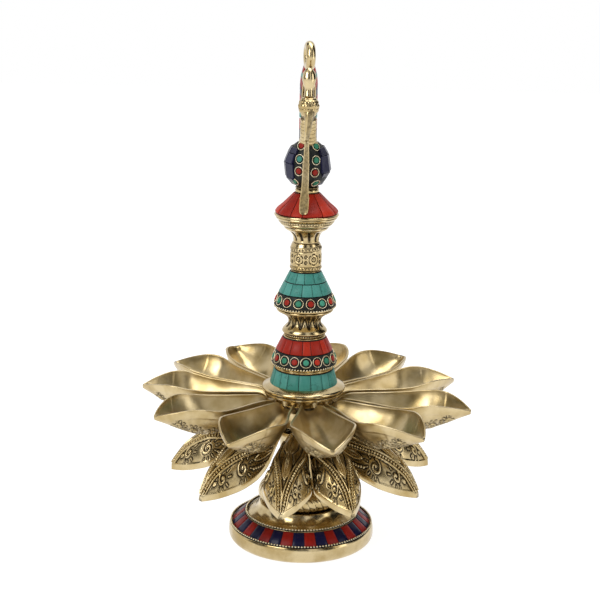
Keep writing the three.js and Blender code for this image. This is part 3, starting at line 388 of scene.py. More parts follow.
def mesh_piece(name: str, points: Array, quads: Array, caps: Sequence[Sequence[int]] = (),
               wear_and_shade: Optional[Array] = None, merge: bool = False, smooth: bool = True) -> Thing:
    """Makes an object of a closed mesh, with its faces pointing out.

    Args:
        name: The object's name.
        points: Corners in millimetres.
        quads: Corner numbers of the four-sided faces.
        caps: Corner numbers of the end faces.
        wear_and_shade: 0 in a recess to 1 on a rubbed surface, for each corner; 1 all over if left out.
        merge: Whether corners in the same place become one.
        smooth: Whether the faces are shaded as one smooth surface.

    Returns:
        The object, at the origin.
    """
    points = np.asarray(points, float).reshape(-1, 3)
    inside_out = enclosed_volume(points, quads) < 0
    faces = quads[:, ::-1].tolist() if inside_out else quads.tolist()
    faces += [list(cap)[::-1] if inside_out else list(cap) for cap in caps]
    mesh = bpy.data.meshes.new(name)
    mesh.from_pydata((points * MM).tolist(), [], faces)
    store(mesh, "wear_and_shade", np.ones(len(points)) if wear_and_shade is None else np.clip(wear_and_shade, 0, 1))
    if merge:
        work = bmesh.new()
        work.from_mesh(mesh)
        bmesh.ops.remove_doubles(work, verts=work.verts, dist=1e-7)
        bmesh.ops.recalc_face_normals(work, faces=work.faces)
        work.to_mesh(mesh)
        work.free()
    mesh.validate()
    mesh.polygons.foreach_set("use_smooth", [smooth] * len(mesh.polygons))
    mesh.update()
    return placed(name, mesh)


def skinned(name: str, rings: Array, wear_and_shade: Optional[Array] = None, smooth: bool = True) -> Thing:
    """Makes a closed piece of rings of points in a row, whose first and last ring are capped."""
    rows, columns = rings.shape[:2]
    last = (rows - 1) * columns
    caps = [list(range(columns))[::-1], list(range(last, last + columns))]
    return mesh_piece(name, rings, grid_faces(rows, columns), caps, wear_and_shade, smooth=smooth)


def joined(name: str, pieces: Sequence[Thing]) -> Thing:
    """Joins pieces at the origin into one mesh, which keeps their attributes."""
    with bpy.context.temp_override(active_object=pieces[0], selected_editable_objects=list(pieces)):
        bpy.ops.object.join()
    pieces[0].name = name
    pieces[0].data.name = name
    return pieces[0]


def outwards(line: Array) -> Array:
    """The outward direction at each point of a closed profile."""
    ahead = np.roll(line, -1, 0)
    run = ahead - np.roll(line, 1, 0)
    run /= np.linalg.norm(run, axis=1)[:, None] + 1e-9
    area = np.sum(line[:, 0] * ahead[:, 1] - line[:, 1] * ahead[:, 0])
    return np.stack([run[:, 1], -run[:, 0]], -1) * np.sign(area)


def hollow_wear(line: Array, reach: float = 1.0, depth: float = 0.34) -> Array:
    """Wear along a closed profile: low where it is concave over that reach in millimetres."""
    step = np.linalg.norm(np.roll(line, -1, 0) - line, axis=1)
    place = np.concatenate([[0], np.cumsum(step)])
    total = place[-1]
    loop = np.vstack([line, line[:1]])
    even = np.linspace(0, total, max(200, int(total / 0.15)), endpoint=False)
    curve = np.stack([np.interp(even, place, loop[:, k]) for k in (0, 1)], -1)
    shift = max(1, int(reach / (total / len(even))))
    middle = (np.roll(curve, shift, 0) + np.roll(curve, -shift, 0)) / 2
    hollow = np.sum((middle - curve) * outwards(curve), axis=1)
    kernel = np.ones(2 * shift // 2 + 1)
    padded = np.concatenate([hollow[-shift:], hollow, hollow[:shift]])
    blurred = np.convolve(padded, kernel / kernel.size, "same")[shift:-shift]
    return np.interp(place[:-1], even, 1.0 - np.clip(blurred / depth, 0, 1))


def turned(name: str, profile: Array, segments: int = 96,
           relief: Optional[Callable[[Array, Array, Array], Array]] = None,
           relief_depth: float = 1.0) -> Thing:
    """Turns a closed profile round the stem's axis.

    Args:
        name: The object's name.
        profile: Radii and heights, in millimetres.
        segments: Facets round the axis.
        relief: How far the surface stands out at an angle, radius and height, in millimetres.
        relief_depth: Depth at which a recess of the relief is fully dark.

    Returns:
        The turned piece.
    """
    angle = np.arange(segments) / segments * FULL_TURN
    theta, radius = np.meshgrid(angle, profile[:, 0], indexing="ij")
    level = np.broadcast_to(profile[:, 1], theta.shape)
    wear_and_shade = np.broadcast_to(hollow_wear(profile), theta.shape).copy()
    if relief is not None:
        outward = outwards(profile)
        stand = relief(theta, radius, level)
        radius = radius + stand * outward[:, 0]
        level = level + stand * outward[:, 1]
        wear_and_shade = wear_and_shade * np.clip(1 + stand / relief_depth, 0, 1)
    faces = grid_faces(segments, len(profile), wrap_rows=True)
    return mesh_piece(name, about_stem(theta, radius, level), faces, wear_and_shade=wear_and_shade)


def swept(name: str, stations: Sequence[Sequence[float]], sides: int = 28, square: float = 1.0,
          relief: Optional[Callable[[Array, Array], Array]] = None) -> Thing:
    """Sweeps a rounded section smoothly through stations in the bird's middle plane.

    Args:
        name: The object's name.
        stations: Distance back, level, half depth and half width of each section.
        sides: Facets round the section.
        square: 1 for an ellipse, less for a section with flatter sides.
        relief: How far the surface stands out at a share of the way and an angle.

    Returns:
        The closed piece.
    """
    fine = spline(stations, 9)
    path = np.stack([np.zeros(len(fine)), fine[:, 0], fine[:, 1]], -1)
    radii = np.maximum(fine[:, 2:], 0.05)
    along = np.gradient(path, axis=0)
    along /= np.linalg.norm(along, axis=1)[:, None]
    across = np.array([1.0, 0.0, 0.0])
    upright = np.cross(along, across)
    angle = (np.arange(sides) + 0.5) / sides * FULL_TURN
    cos, sin = (np.sign(way) * np.abs(way) ** square for way in (np.cos(angle), np.sin(angle)))
    scale = np.ones((len(path), sides))
    wear_and_shade = np.ones_like(scale)
    if relief is not None:
        share, turn = np.meshgrid(np.linspace(0, 1, len(path)), angle, indexing="ij")
        stand = relief(share, turn)
        scale = 1 + stand / np.mean(radii, axis=1)[:, None]
        wear_and_shade = np.clip(1 + stand / 0.5, 0, 1)
    depth = (radii[:, :1] * cos * scale)[..., None] * upright[:, None, :]
    width = (radii[:, 1:] * sin * scale)[..., None] * across
    return skinned(name, path[:, None, :] + depth + width, wear_and_shade)


# Relief, measured in millimetres along and across a surface


@dataclass
class Engraving:
    """Cords, beads, curls and leaves chased on a surface, with dark grooves beside them.

    Places are lengths along and across the surface, in millimetres.
    """

    along: Array
    across: Array
    height: Array = field(init=False)
    gap: Array = field(init=False)

    def __post_init__(self) -> None:
        """Starts from a flat surface."""
        self.height = np.zeros_like(self.along)
        self.gap = np.full(self.along.shape, 9.0)

    def nearest(self, path: Array) -> tuple[Array, Array]:
        """Distance to the path, and the length along it to its nearest place."""
        best = np.full(self.along.shape, 1e9)
        where = np.zeros(self.along.shape)
        travelled = 0.0
        for (a0, b0), (a1, b1) in zip(path[:-1], path[1:]):
            length = math.hypot(a1 - a0, b1 - b0) + 1e-9
            t = ((self.along - a0) * (a1 - a0) + (self.across - b0) * (b1 - b0)) / length**2
            t = np.clip(t, 0, 1)
            away = np.hypot(self.along - a0 - t * (a1 - a0), self.across - b0 - t * (b1 - b0))
            closer = away < best
            best = np.where(closer, away, best)
            where = np.where(closer, travelled + t * length, where)
            travelled += length
        return best, where

    def add(self, gap: Array, shape: Array, lift: float) -> None:
        """Adds a form: its distance outside, and its height as a share of lift."""
        self.gap = np.minimum(self.gap, gap)
        self.height = np.where(gap < 0, np.maximum(self.height, lift * shape), self.height)

    def cord(self, path: Array, half_width: float, lift: float) -> None:
        """A round cord along a path."""
        away, _ = self.nearest(path)
        swell = np.sqrt(np.clip(1 - (away / half_width) ** 2, 0, 1))
        self.add(away - half_width, swell, lift)

    def beads(self, path: Array, pitch: float, radius: float, lift: float) -> None:
        """A row of beads along a path."""
        away, where = self.nearest(path)
        beside = (where / pitch - np.floor(where / pitch) - 0.5) * pitch
        apart = np.hypot(away, beside)
        self.add(apart - radius, np.sqrt(np.clip(1 - (apart / radius) ** 2, 0, 1)), lift)

    def curl(self, centre: tuple, radius: float, turns: float, start: float, width: float) -> None:
        """A cord that winds out from a centre by so many turns, from an angle in degrees."""
        t = np.linspace(0.1, 1, int(24 * turns))
        angle = math.radians(start) + turns * FULL_TURN * t
        path = np.array(centre) + (radius * t * np.stack([np.cos(angle), np.sin(angle)])).T
        self.cord(path, width, 0.9)

    def comb(self, centre: tuple, inner: float, outer: float, first: float, last: float,
             count: int) -> None:
        """Short strokes round a centre, from one angle to another in degrees."""
        for angle in np.radians(np.linspace(first, last, count)):
            way = np.array([math.cos(angle), math.sin(angle)])
            self.cord(np.array([centre + inner * way, centre + outer * way]), 0.5, 0.6)

    def leaf(self, start: tuple, end: tuple, half_width: float, lift: float = 0.7) -> None:
        """A pointed leaf between two places, with a vein down its middle."""
        begin = np.array(start, float)
        way = np.array(end, float) - begin
        length = float(np.linalg.norm(way))
        way /= length
        down = ((self.along - begin[0]) * way[0] + (self.across - begin[1]) * way[1]) / length
        side = (self.across - begin[1]) * way[0] - (self.along - begin[0]) * way[1]
        half = half_width * np.clip(4 * down * (1 - down), 1e-4, None) ** 0.7
        shape = np.sqrt(np.clip(1 - (side / half) ** 2, 0, 1)) * (1 - 0.5 * np.exp(-((side / 0.3) ** 2)))
        beyond = np.maximum(np.abs(down - 0.5) - 0.5, 0) * length
        self.add(np.hypot(np.maximum(np.abs(side) - half, 0), beyond) - 0.01, shape, lift)

    def result(self, inside: Array, ground: float, groove: float, dark: float) -> tuple[Array, Array]:
        """How far each point stands out, and its wear.

        Args:
            inside: Share of the relief that is there: 0 on the smooth margin.
            ground: Depth of the ground below the margin.
            groove: Further depth beside the forms.
            dark: How dark the grooves are, up to 1.

        Returns:
            Relief in millimetres, and wear from 0 in a groove to 1.
        """
        near = np.exp(-((np.maximum(self.gap, 0) / 0.65) ** 2))
        raised = self.height > 0
        relief = inside * np.where(raised, self.height - ground, -ground - groove * near)
        worn = np.where(raised, 0.1 + 1.25 * self.height, 0.72 - 0.72 * near)
        return relief, np.clip(1 - dark * inside * (1 - np.clip(worn, 0, 1)), 0, 1)


# What repeats, by geometry nodes


def slab(top: Array, base: Array) -> Form:
    """Corners and faces of a closed slab between two grids of points."""
    rows, columns = top.shape[:2]
    upper = grid_faces(rows, columns, wrap_columns=False)
    rim = [*range(columns - 1), *[i * columns + columns - 1 for i in range(rows - 1)]]
    rim += [(rows - 1) * columns + j for j in range(columns - 1, 0, -1)]
    rim += [i * columns for i in range(rows - 1, 0, -1)]
    loop = np.array(rim)
    after = np.roll(loop, -1)
    below = rows * columns
    sides = np.stack([loop, after, after + below, loop + below], -1)
    points = np.vstack([top.reshape(-1, 3), base.reshape(-1, 3)])
    return points, np.vstack([upper, upper[:, ::-1] + below, sides])


def tile_form(width: float, height: float, thickness: float, rounding: float) -> Form:
    """A flat chip with softened edges: its corners and faces, centred, its base at 0."""
    xs = np.array([-0.5, -0.5 + rounding / width, -0.25, 0, 0.25, 0.5 - rounding / width, 0.5])
    ys = np.array([-0.5, -0.5 + rounding / height, 0, 0.5 - rounding / height, 0.5])
    x, y = np.meshgrid(xs * width, ys * height, indexing="ij")
    edge = np.ones_like(x, bool)
    edge[1:-1, 1:-1] = False
    top = np.stack([x, y, np.where(edge, thickness - rounding, thickness)], -1)
    return slab(top, np.stack([x, y, np.zeros_like(x)], -1))


def round_form(section: Sequence[Sequence[float]], sides: int, ring: bool = False) -> Form:
    """Corners and faces of a small turned shape from its radii and heights."""
    angle = np.arange(sides) / sides * FULL_TURN
    around = np.stack([np.cos(angle), np.sin(angle)])
    rows = [np.vstack([radius * around, np.full(sides, level)]).T for radius, level in section]
    return np.vstack(rows), grid_faces(len(section), sides, wrap_rows=ring)


def ball_form(radius: float, height: float, sides: int = 8, rings: int = 5) -> Form:
    """A bead, flattened to a height."""
    polar = np.linspace(0, math.pi, rings + 1)
    return round_form(np.stack([radius * np.sin(polar), height * np.cos(polar)], -1), sides)


def stone_form(radius: float, height: float, sides: int = 12) -> Form:
    """A round stone, ground almost flat on top."""
    shape = ((0, -0.3), (1, -0.3), (1, 0.6 * height), (0.82, 0.95 * height), (0.4, height), (0, height))
    return round_form([(radius * share, level) for share, level in shape], sides)


def hoop_form(radius: float, wire: float, sides: int = 22) -> Form:
    """A ring of flat wire set on edge."""
    shape = ((-1, -0.4 / wire), (1, -0.4 / wire), (1, 0.7), (0.3, 1.3), (-0.3, 1.3), (-1, 0.7))
    return round_form([(radius + wire * out, wire * up) for out, up in shape], sides, ring=True)


@cache
def ring_tree() -> Tree:
    """Builds the tree that sets copies of a form round the stem and wraps them on its slope.

    Neighbours share each joint between them, which a random turn moves, so that the copies differ
    in width.

    Returns:
        The tree, whose inputs are a form and the fields of a Ring.
    """
    tree = bpy.data.node_groups.new("set_round_the_stem", "GeometryNodeTree")
    kinds = {"Form": "Object", "Count": "Int", "Seed": "Int"}
    for label in ("Form", "Count", "Step", "Radius", "Level", "Slope", "Phase", "Slant", "Uneven", "Seed"):
        kind = "NodeSocket" + kinds.get(label, "Float")
        tree.interface.new_socket(label, in_out="INPUT", socket_type=kind)
    tree.interface.new_socket("Geometry", in_out="OUTPUT", socket_type="NodeSocketGeometry")
    given = node(tree, "NodeGroupInput").outputs
    line = node(tree, "GeometryNodeMeshLine", {"Count": given["Count"], "Offset": (0, 0, 0)})
    form = node(tree, "GeometryNodeObjectInfo", {"Object": given["Form"]}).outputs["Geometry"]
    kept = node(tree, "GeometryNodeInstanceOnPoints", {"Points": line, "Instance": form})
    known = {socket.name: socket for socket in given if socket.name}
    known["index"] = node(tree, "GeometryNodeInputIndex")
    for label, operation, *values in (("after", "ADD", "index", 1.0), ("next", "MODULO", "after", "Count")):
        inputs = {k: known.get(value, value) for k, value in enumerate(values)}
        known[label] = node(tree, "ShaderNodeMath", inputs, operation=operation)
    for label, which, low in (("before", "index", -0.5), ("behind", "next", -0.5), ("tone", "index", 0.0)):
        inputs = {2: low, 3: low + 1.0, "ID": known[which], "Seed": given["Seed"]}
        known[label] = node(tree, "FunctionNodeRandomValue", inputs, data_type="FLOAT").outputs[1]
    for label, operation, *values in (
        ("both", "ADD", "before", "behind"),
        ("apart", "SUBTRACT", "behind", "before"),
        ("even", "MULTIPLY_ADD", "index", "Step", "Phase"),
        ("turn", "MULTIPLY_ADD", "both", "Uneven", "even"),
        ("wider", "DIVIDE", "Uneven", "Step"),
        ("double", "MULTIPLY", "wider", 2.0),
        ("stretch", "MULTIPLY_ADD", "apart", "double", 1.0),
    ):
        inputs = {k: known.get(value, value) for k, value in enumerate(values)}
        known[label] = node(tree, "ShaderNodeMath", inputs, operation=operation)
    for label in ("turn", "stretch", "tone"):
        values = {"Geometry": kept, "Name": label, "Value": known[label]}
        kept = node(tree, "GeometryNodeStoreNamedAttribute", values, data_type="FLOAT", domain="INSTANCE")
    real = node(tree, "GeometryNodeRealizeInstances", {"Geometry": kept})
    part = node(tree, "ShaderNodeSeparateXYZ", {0: node(tree, "GeometryNodeInputPosition")}).outputs
    known |= {"x": part["X"], "y": part["Y"], "z": part["Z"]}
    for label in ("turn", "stretch"):
        known[label] = node(tree, "GeometryNodeInputNamedAttribute", {"Name": label}, data_type="FLOAT")
    for label, operation, *values in (
        ("cos", "COSINE", "Slope"),
        ("sin", "SINE", "Slope"),
        ("wide", "MULTIPLY", "x", "stretch"),
        ("slid", "MULTIPLY_ADD", "y", "Slant", "wide"),
        ("arc", "DIVIDE", "slid", "Radius"),
        ("theta", "ADD", "arc", "turn"),
        ("up", "MULTIPLY_ADD", "y", "cos", "Radius"),
        ("radius", "MULTIPLY_ADD", "z", "sin", "up"),
        ("high", "MULTIPLY_ADD", "y", "sin", "Level"),
        ("dip", "MULTIPLY", "z", "cos"),
        ("level", "SUBTRACT", "high", "dip"),
        ("sine", "SINE", "theta"),
        ("cosine", "COSINE", "theta"),
        ("side", "MULTIPLY", "radius", "sine"),
        ("back", "MULTIPLY", "radius", "cosine"),
        ("front", "MULTIPLY", "back", -1.0),
    ):
        inputs = {k: known.get(value, value) for k, value in enumerate(values)}
        known[label] = node(tree, "ShaderNodeMath", inputs, operation=operation)
    corners = {k: known[label] for k, label in enumerate(("side", "front", "level"))}
    wrapped = node(tree, "ShaderNodeCombineXYZ", corners)
    set_round = node(tree, "GeometryNodeSetPosition", {"Geometry": real, "Position": wrapped})
    node(tree, "NodeGroupOutput", {0: set_round})
    return tree


@dataclass(frozen=True)
class Ring:
    """Where copies of a form stand round the stem.

    Lengths are millimetres and angles degrees. The slope is that of the surface they lie on:
    90 is a plain wall, more leans in towards the top. The step is a whole turn's share if it is 0.
    """

    count: int
    radius: float
    level: float
    slope: float = 90.0
    phase: float = 0.0
    slant: float = 0.0
    uneven: float = 0.0
    seed: int = 1
    step: float = 0.0

    def set_with(self, name: str, form: Form) -> Thing:
        """Sets a form round the stem.

        Args:
            name: The new object's name.
            form: The form, x round the stem, y up the slope and z outwards.

        Returns:
            One plain mesh of all copies.
        """
        shape = mesh_piece(name + "_form", *form, merge=True)
        values = {
            "Form": shape, "Count": self.count, "Step": math.radians(self.step or 360.0 / self.count),
            "Radius": self.radius * MM, "Level": self.level * MM, "Slope": math.radians(self.slope),
            "Phase": math.radians(self.phase), "Slant": self.slant, "Uneven": math.radians(self.uneven),
            "Seed": self.seed,
        }
        holder = placed(name + "_maker", bpy.data.meshes.new(name + "_maker"))
        modifier = holder.modifiers.new("maker", "NODES")
        modifier.node_group = ring_tree()
        for item in modifier.node_group.interface.items_tree:
            if item.name in values:
                modifier[item.identifier] = values[item.name]
        graph = bpy.context.evaluated_depsgraph_get()
        mesh = bpy.data.meshes.new_from_object(holder.evaluated_get(graph))
        mesh.name = name
        mesh.polygons.foreach_set("use_smooth", [True] * len(mesh.polygons))
        for thing in (holder, shape):
            bpy.data.objects.remove(thing)
        return placed(name, mesh)


# Sub-assemblies


@dataclass(frozen=True)
class Span:
    """The levels and the outer radius of a construction node, in millimetres."""

    bottom: float
    top: float
    radius: float

    @property
    def height(self) -> float:
        """How high the node is."""
        return self.top - self.bottom


def span_of(name: str) -> Span:
    """Measures a construction node that stands round the stem's axis."""
    low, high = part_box(name)
    radius = max(high.x - low.x, high.y - low.y) / 2
    return Span(low.z / MM, high.z / MM, radius / MM)


def node_corners(name: str) -> Array:
    """The corners of a construction node, in millimetres."""
    return np.array([v.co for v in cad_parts[name].data.vertices]) / MM


@dataclass
class SubAssembly:
    """What every sub-assembly has: its moving body, the rod's hole, and how it settles its pieces."""

    body: Body = Body.LAMP
    bore: float = 3.3

    def settle(self, piece: Thing, finish: Finish, *nodes: str) -> None:
        """Dresses a piece, lets it ride on its body and lets it stand for construction nodes.

        Args:
            piece: The finished object.
            finish: Its finish.
            *nodes: Names of the construction nodes that it replaces.
        """
        piece.data.materials.clear()
        piece.data.materials.append(bpy.data.materials.get(finish.name) or finish.material())
        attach(piece, self.body.value)
        if nodes:
            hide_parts(*nodes)
        log.info("%s: %d faces, for %s", piece.name, len(piece.data.polygons), ", ".join(nodes) or "-")

    def beaded_wire(self, name: str, pitch: float, bead: float, squeeze: float,
                    bedding: Sequence[tuple], segments: int, **others: float) -> None:
        """A wire pressed into beads, bedded in resin.

        Args:
            name: The wire's construction node.
            pitch: Distance between the beads.
            bead: Radius of a bead.
            squeeze: Width of a bead along the wire, as a share of its height.
            bedding: Distance outwards, distance up and fillet of each corner of the bedding.
            segments: Facets of the bedding round the stem.
            **others: Further fields of the ring that the beads stand in.
        """
        place = span_of(name)
        level = (place.bottom + place.top) / 2
        radius = place.radius - place.height / 2
        corners, quads = ball_form(bead, bead)
        corners[:, 0] *= squeeze
        ring = Ring(round(FULL_TURN * radius / pitch), radius, level, **others)
        # The beads take the pale wire brass, a painted highlight that makes them show as bright dots
        self.settle(ring.set_with(name + "_beads", (corners, quads)), WIRE_BRASS_PAINTED_HIGHLIGHT, name)
        outline = filleted([(radius + out, level + up, fillet) for out, up, fillet in bedding], steps=2)
        self.settle(turned(name + "_bedding", outline, segments), LAC)


@dataclass
class Foot(SubAssembly):
    """Hollow foot with its sloping ring of red and blue chips between two beaded wires."""

    edge_rounding: float = 0.8
    land: float = 1.6
    band_width: float = 8.6
    wall: float = 4.5
    inlay_thickness: float = 1.5
    gap: float = CLEARANCE
    chips: int = 36
    first_chip: float = -2.4
    joint: float = 0.3
    chip_depth: float = 0.75
    chip_seat: float = 0.62
    bed_sink: float = 0.35
    # Coarser than the real 1 mm, so that the beads show as dots
    bead_pitch: float = 2.0
    bead: float = 0.68
    squeeze: float = 0.94
    bedding: tuple = ((-0.64, -0.6, 0.1), (0.64, -0.6, 0.1), (0.6, -0.1, 0.1), (-0.6, -0.1, 0.1))

    def build(self) -> None:
        """Builds the casting, the inlay and the wires."""
        whole = span_of("foot_casting")
        inlay = span_of("foot_inlay_ring")
        ring_outer = inlay.radius + self.gap
        ring_inner = ring_outer - self.band_width
        lip_level = span_of("foot_outer_bead").bottom - self.gap
        high_lip = span_of("foot_inner_bead").bottom - self.gap
        drop = self.inlay_thickness + self.gap
        rest_outer = whole.radius - 2.8
        rest_inner = rest_outer - 5.0
        top_radius = span_of("gadroon_ring").radius - 1.0
        under = whole.top - self.wall
        corners = [
            (rest_inner, 0, 0.6), (rest_outer, 0, 2.2), (whole.radius - 0.3, 2.6, 2.4),
            (whole.radius, 5.8, 3.0), (whole.radius - 0.3, 9.2, 1.4),
            (whole.radius - self.edge_rounding - 0.2, lip_level, 0.5), (ring_outer, lip_level, 0.2),
            (ring_outer, lip_level - drop, 0.1), (ring_inner, high_lip - drop, 0.1),
            (ring_inner, high_lip, 0.2), (ring_inner - self.land - 0.2, high_lip - 0.1, 0.5),
            (ring_inner - self.land - 1.8, high_lip + 0.7, 1.6), (top_radius + 3.2, high_lip + 2.2, 3.0),
            (top_radius + 1.0, high_lip + 5.0, 2.2), (top_radius, whole.top, 0.6),
            (self.bore, whole.top, 0.2), (self.bore, under, 0.2), (top_radius - self.wall, under, 2.0),
            (ring_inner - self.wall, high_lip - 1.45 * self.wall, 3.0), (rest_inner, lip_level / 2, 2.0),
        ]
        casting = turned("foot_bell", filleted(corners, steps=5), 144)
        self.settle(casting, SATIN_BRASS, "foot_casting")
        self.build_inlay(ring_outer, ring_inner, lip_level, high_lip)
        for name in ("foot_outer_bead", "foot_inner_bead"):
            self.beaded_wire(name, self.bead_pitch, self.bead, self.squeeze, self.bedding, 120, phase=0.7)

    def build_inlay(self, outer: float, inner: float, low: float, high: float) -> None:
        """The two colours of chips in the black bed between the lips."""
        radius = (outer + inner) / 2
        level = (low + high) / 2
        tilt = math.atan2(high - low, inner - outer)
        length = math.hypot(high - low, inner - outer) - 2 * self.gap
        thick, gap = self.inlay_thickness, self.gap
        bed = [(outer - gap, low - thick, 0.1), (outer - gap, low - self.bed_sink, 0.1),
               (inner + gap, high - self.bed_sink, 0.1), (inner + gap, high - thick, 0.1)]
        base = turned("foot_chip_bed", filleted(bed, steps=2), 144)
        self.settle(base, LAC, "foot_inlay_ring")
        step = 360.0 / self.chips
        width = FULL_TURN * radius / self.chips - self.joint
        chip = tile_form(width, length - 0.5, self.chip_depth, 0.12)
        seat = (radius - self.chip_seat * math.sin(tilt), level + self.chip_seat * math.cos(tilt))
        for name, finish, phase, seed in (
            ("foot_lapis_chips", replace(LAPIS, slot=Slot.FOOT_CHIPS), self.first_chip, 5),
            ("foot_coral_chips", DARK_CORAL, self.first_chip + step, 3),
        ):
            ring = Ring(self.chips // 2, *seat, slope=math.degrees(tilt), phase=phase, uneven=0.6, seed=seed)
            self.settle(ring.set_with(name, chip), finish)


@dataclass
class GadroonAndNeck(SubAssembly):
    """Ribbed cushion ring on the foot, and the narrow neck that carries the hub."""

    ribs: int = 40
    groove: float = 0.8
    slant: float = 0.18
    neck_radius: float = 15.0
    neck_flare: float = 4.0

    def ribbed(self, theta: Array, radius: Array, level: Array) -> Array:
        """Broad ribs between thin slanting grooves, none on the ring's flat faces and bore."""
        place = span_of("gadroon_ring")
        share = (level - place.bottom) / place.height
        phase = self.ribs * (theta + self.slant * (share - 0.5))
        groove = np.abs(np.sin(phase / 2)) ** 0.26 - 1
        return self.groove * groove * smoothstep(12.0, 20.0, radius)

    def build(self) -> None:
        """Builds the ring and the neck."""
        ring = span_of("gadroon_ring")
        low, high, wide = ring.bottom, ring.height, ring.radius
        outline = spline([
            (wide - 5.6, low + 0.1), (wide - 1.8, low + 0.1 * high), (wide - 0.1, low + 0.36 * high),
            (wide - 0.5, low + 0.66 * high), (wide - 3.2, low + 0.9 * high), (wide - 8.0, low + high),
        ], 7)
        inside = [(16.0, low + high), (self.bore, low + high), (self.bore, low), (18.0, low)]
        cushion = turned("gadroon_cushion", np.vstack([outline, inside]), self.ribs * 16, self.ribbed, 0.85)
        self.settle(cushion, CARVED_BRASS, "gadroon_ring")
        neck = span_of("foot_neck")
        r, flare = self.neck_radius, self.neck_flare
        corners = [
            (self.bore, neck.bottom, 0.2), (r + flare, neck.bottom, 0.8),
            (r + 0.75 * flare, neck.bottom + 0.6 * flare, 1.5), (r, neck.bottom + 1.4 * flare, 3.0),
            (r, neck.top - 1.6 * flare, 4.0), (r + 0.75 * flare, neck.top, 0.6), (self.bore, neck.top, 0.2),
        ]
        self.settle(turned("neck_column", filleted(corners), 96), SATIN_BRASS, "foot_neck")


@dataclass
class ClampStack(SubAssembly):
    """Threaded rod, nut, washer and discs that hold the casting together."""

    pitch: float = 1.25
    thread_depth: float = 0.55
    nut_facets: int = 72

    def build(self) -> None:
        """Builds the rod with its thread, the nut, the washer and both discs."""
        thread = threaded_rod("clamp_rod", span_of("tie_rod"), self.pitch, self.thread_depth)
        self.settle(thread, ZINC_STEEL, "tie_rod")
        washer = disc("clamp_washer", span_of("foot_washer"), self.bore, 0.3)
        self.settle(washer, ZINC_STEEL, "foot_washer")
        for name, label in (("lower_clamp_disc", "clamp_disc"), ("hub_drum", "hub_turning")):
            self.settle(disc(label, span_of(name), self.bore, 0.5), SATIN_BRASS, name)
        self.build_nut()

    def build_nut(self) -> None:
        """A hexagon with both faces chamfered, round the rod."""
        nut = span_of("foot_nut")
        corner = nut.radius
        flats = corner * math.cos(math.pi / 6)
        rows = [(self.bore, nut.bottom), (flats - 0.2, nut.bottom), (corner, nut.bottom + 0.8),
                (corner, nut.top - 0.8), (flats - 0.2, nut.top), (self.bore, nut.top)]
        radius, level = np.array(rows).T[..., None]
        angle = np.arange(self.nut_facets) / self.nut_facets * FULL_TURN
        beside = (angle + math.pi / 6) % (math.pi / 3) - math.pi / 6
        points = about_stem(angle, np.minimum(flats / np.cos(beside), radius), level)
        faces = grid_faces(len(rows), self.nut_facets, wrap_rows=True)
        piece = mesh_piece("clamp_nut", points, faces, smooth=False)
        self.settle(piece, ZINC_STEEL, "foot_nut")


def disc(name: str, place: Span, bore: float, chamfer: float) -> Thing:
    """A flat ring with softened edges that fills a construction node."""
    corners = [(bore, place.bottom, 0.2), (place.radius, place.bottom, chamfer),
               (place.radius, place.top, chamfer), (bore, place.top, 0.2)]
    return turned(name, filleted(corners, steps=3), 72)


def threaded_rod(name: str, place: Span, pitch: float, depth: float) -> Thing:
    """A rod with a helical thread, chamfered at both ends.

    Args:
        name: The object's name.
        place: The levels and outer radius of the rod.
        pitch: Rise of the thread in a turn.
        depth: Depth of the thread.

    Returns:
        The closed rod.
    """
    sides, rows = 24, int(place.height / pitch * 6)
    run_out, tip, chamfer = 1.2, 0.6, 0.3
    level = np.linspace(place.bottom, place.top, rows)
    z, theta = np.meshgrid(level, np.arange(sides) / sides * FULL_TURN, indexing="ij")
    wave = 0.5 + 0.5 * np.cos((z / pitch) * FULL_TURN - theta)
    ends = np.minimum(z - place.bottom, place.top - z)
    radius = place.radius - depth * (1 - wave * smoothstep(0, run_out, ends))
    radius -= chamfer * (1 - smoothstep(0, tip, ends))
    return skinned(name, about_stem(theta, radius, z), 0.35 + 0.65 * wave)


@dataclass(frozen=True)
class PetalPlace:
    """Where one petal of the construction lies."""

    node: str
    azimuth: float
    reach: float
    tip_level: float


def petal_places(prefix: str, count: int) -> list[PetalPlace]:
    """Reads azimuth, reach and tip level of each petal off its node.

    Args:
        prefix: Name of the tier's nodes, before their number.
        count: How many petals the tier has.

    Returns:
        The places, in the order of the nodes.
    """
    places = []
    for k in range(1, count + 1):
        name = f"{prefix}_{k:02d}"
        corners = node_corners(name)
        middle = corners.mean(axis=0)
        azimuth = math.atan2(middle[0], -middle[1])
        reach = corners @ np.array([math.sin(azimuth), -math.cos(azimuth), 0])
        tip = corners[reach > reach.max() - 0.2].mean(axis=0)
        azimuth = math.atan2(tip[0], -tip[1])
        places.append(PetalPlace(name, azimuth, float(reach.max()), float(tip[2])))
    return places


def half_pitches(places: Sequence[PetalPlace]) -> list[float]:
    """Half the angle from each petal to its nearer neighbour."""
    azimuths = [p.azimuth for p in places]
    halves = []
    for k, here in enumerate(azimuths):
        before = (here - azimuths[k - 1]) % FULL_TURN
        after = (azimuths[(k + 1) % len(azimuths)] - here) % FULL_TURN
        halves.append(min(before, after) / 2)
    return halves


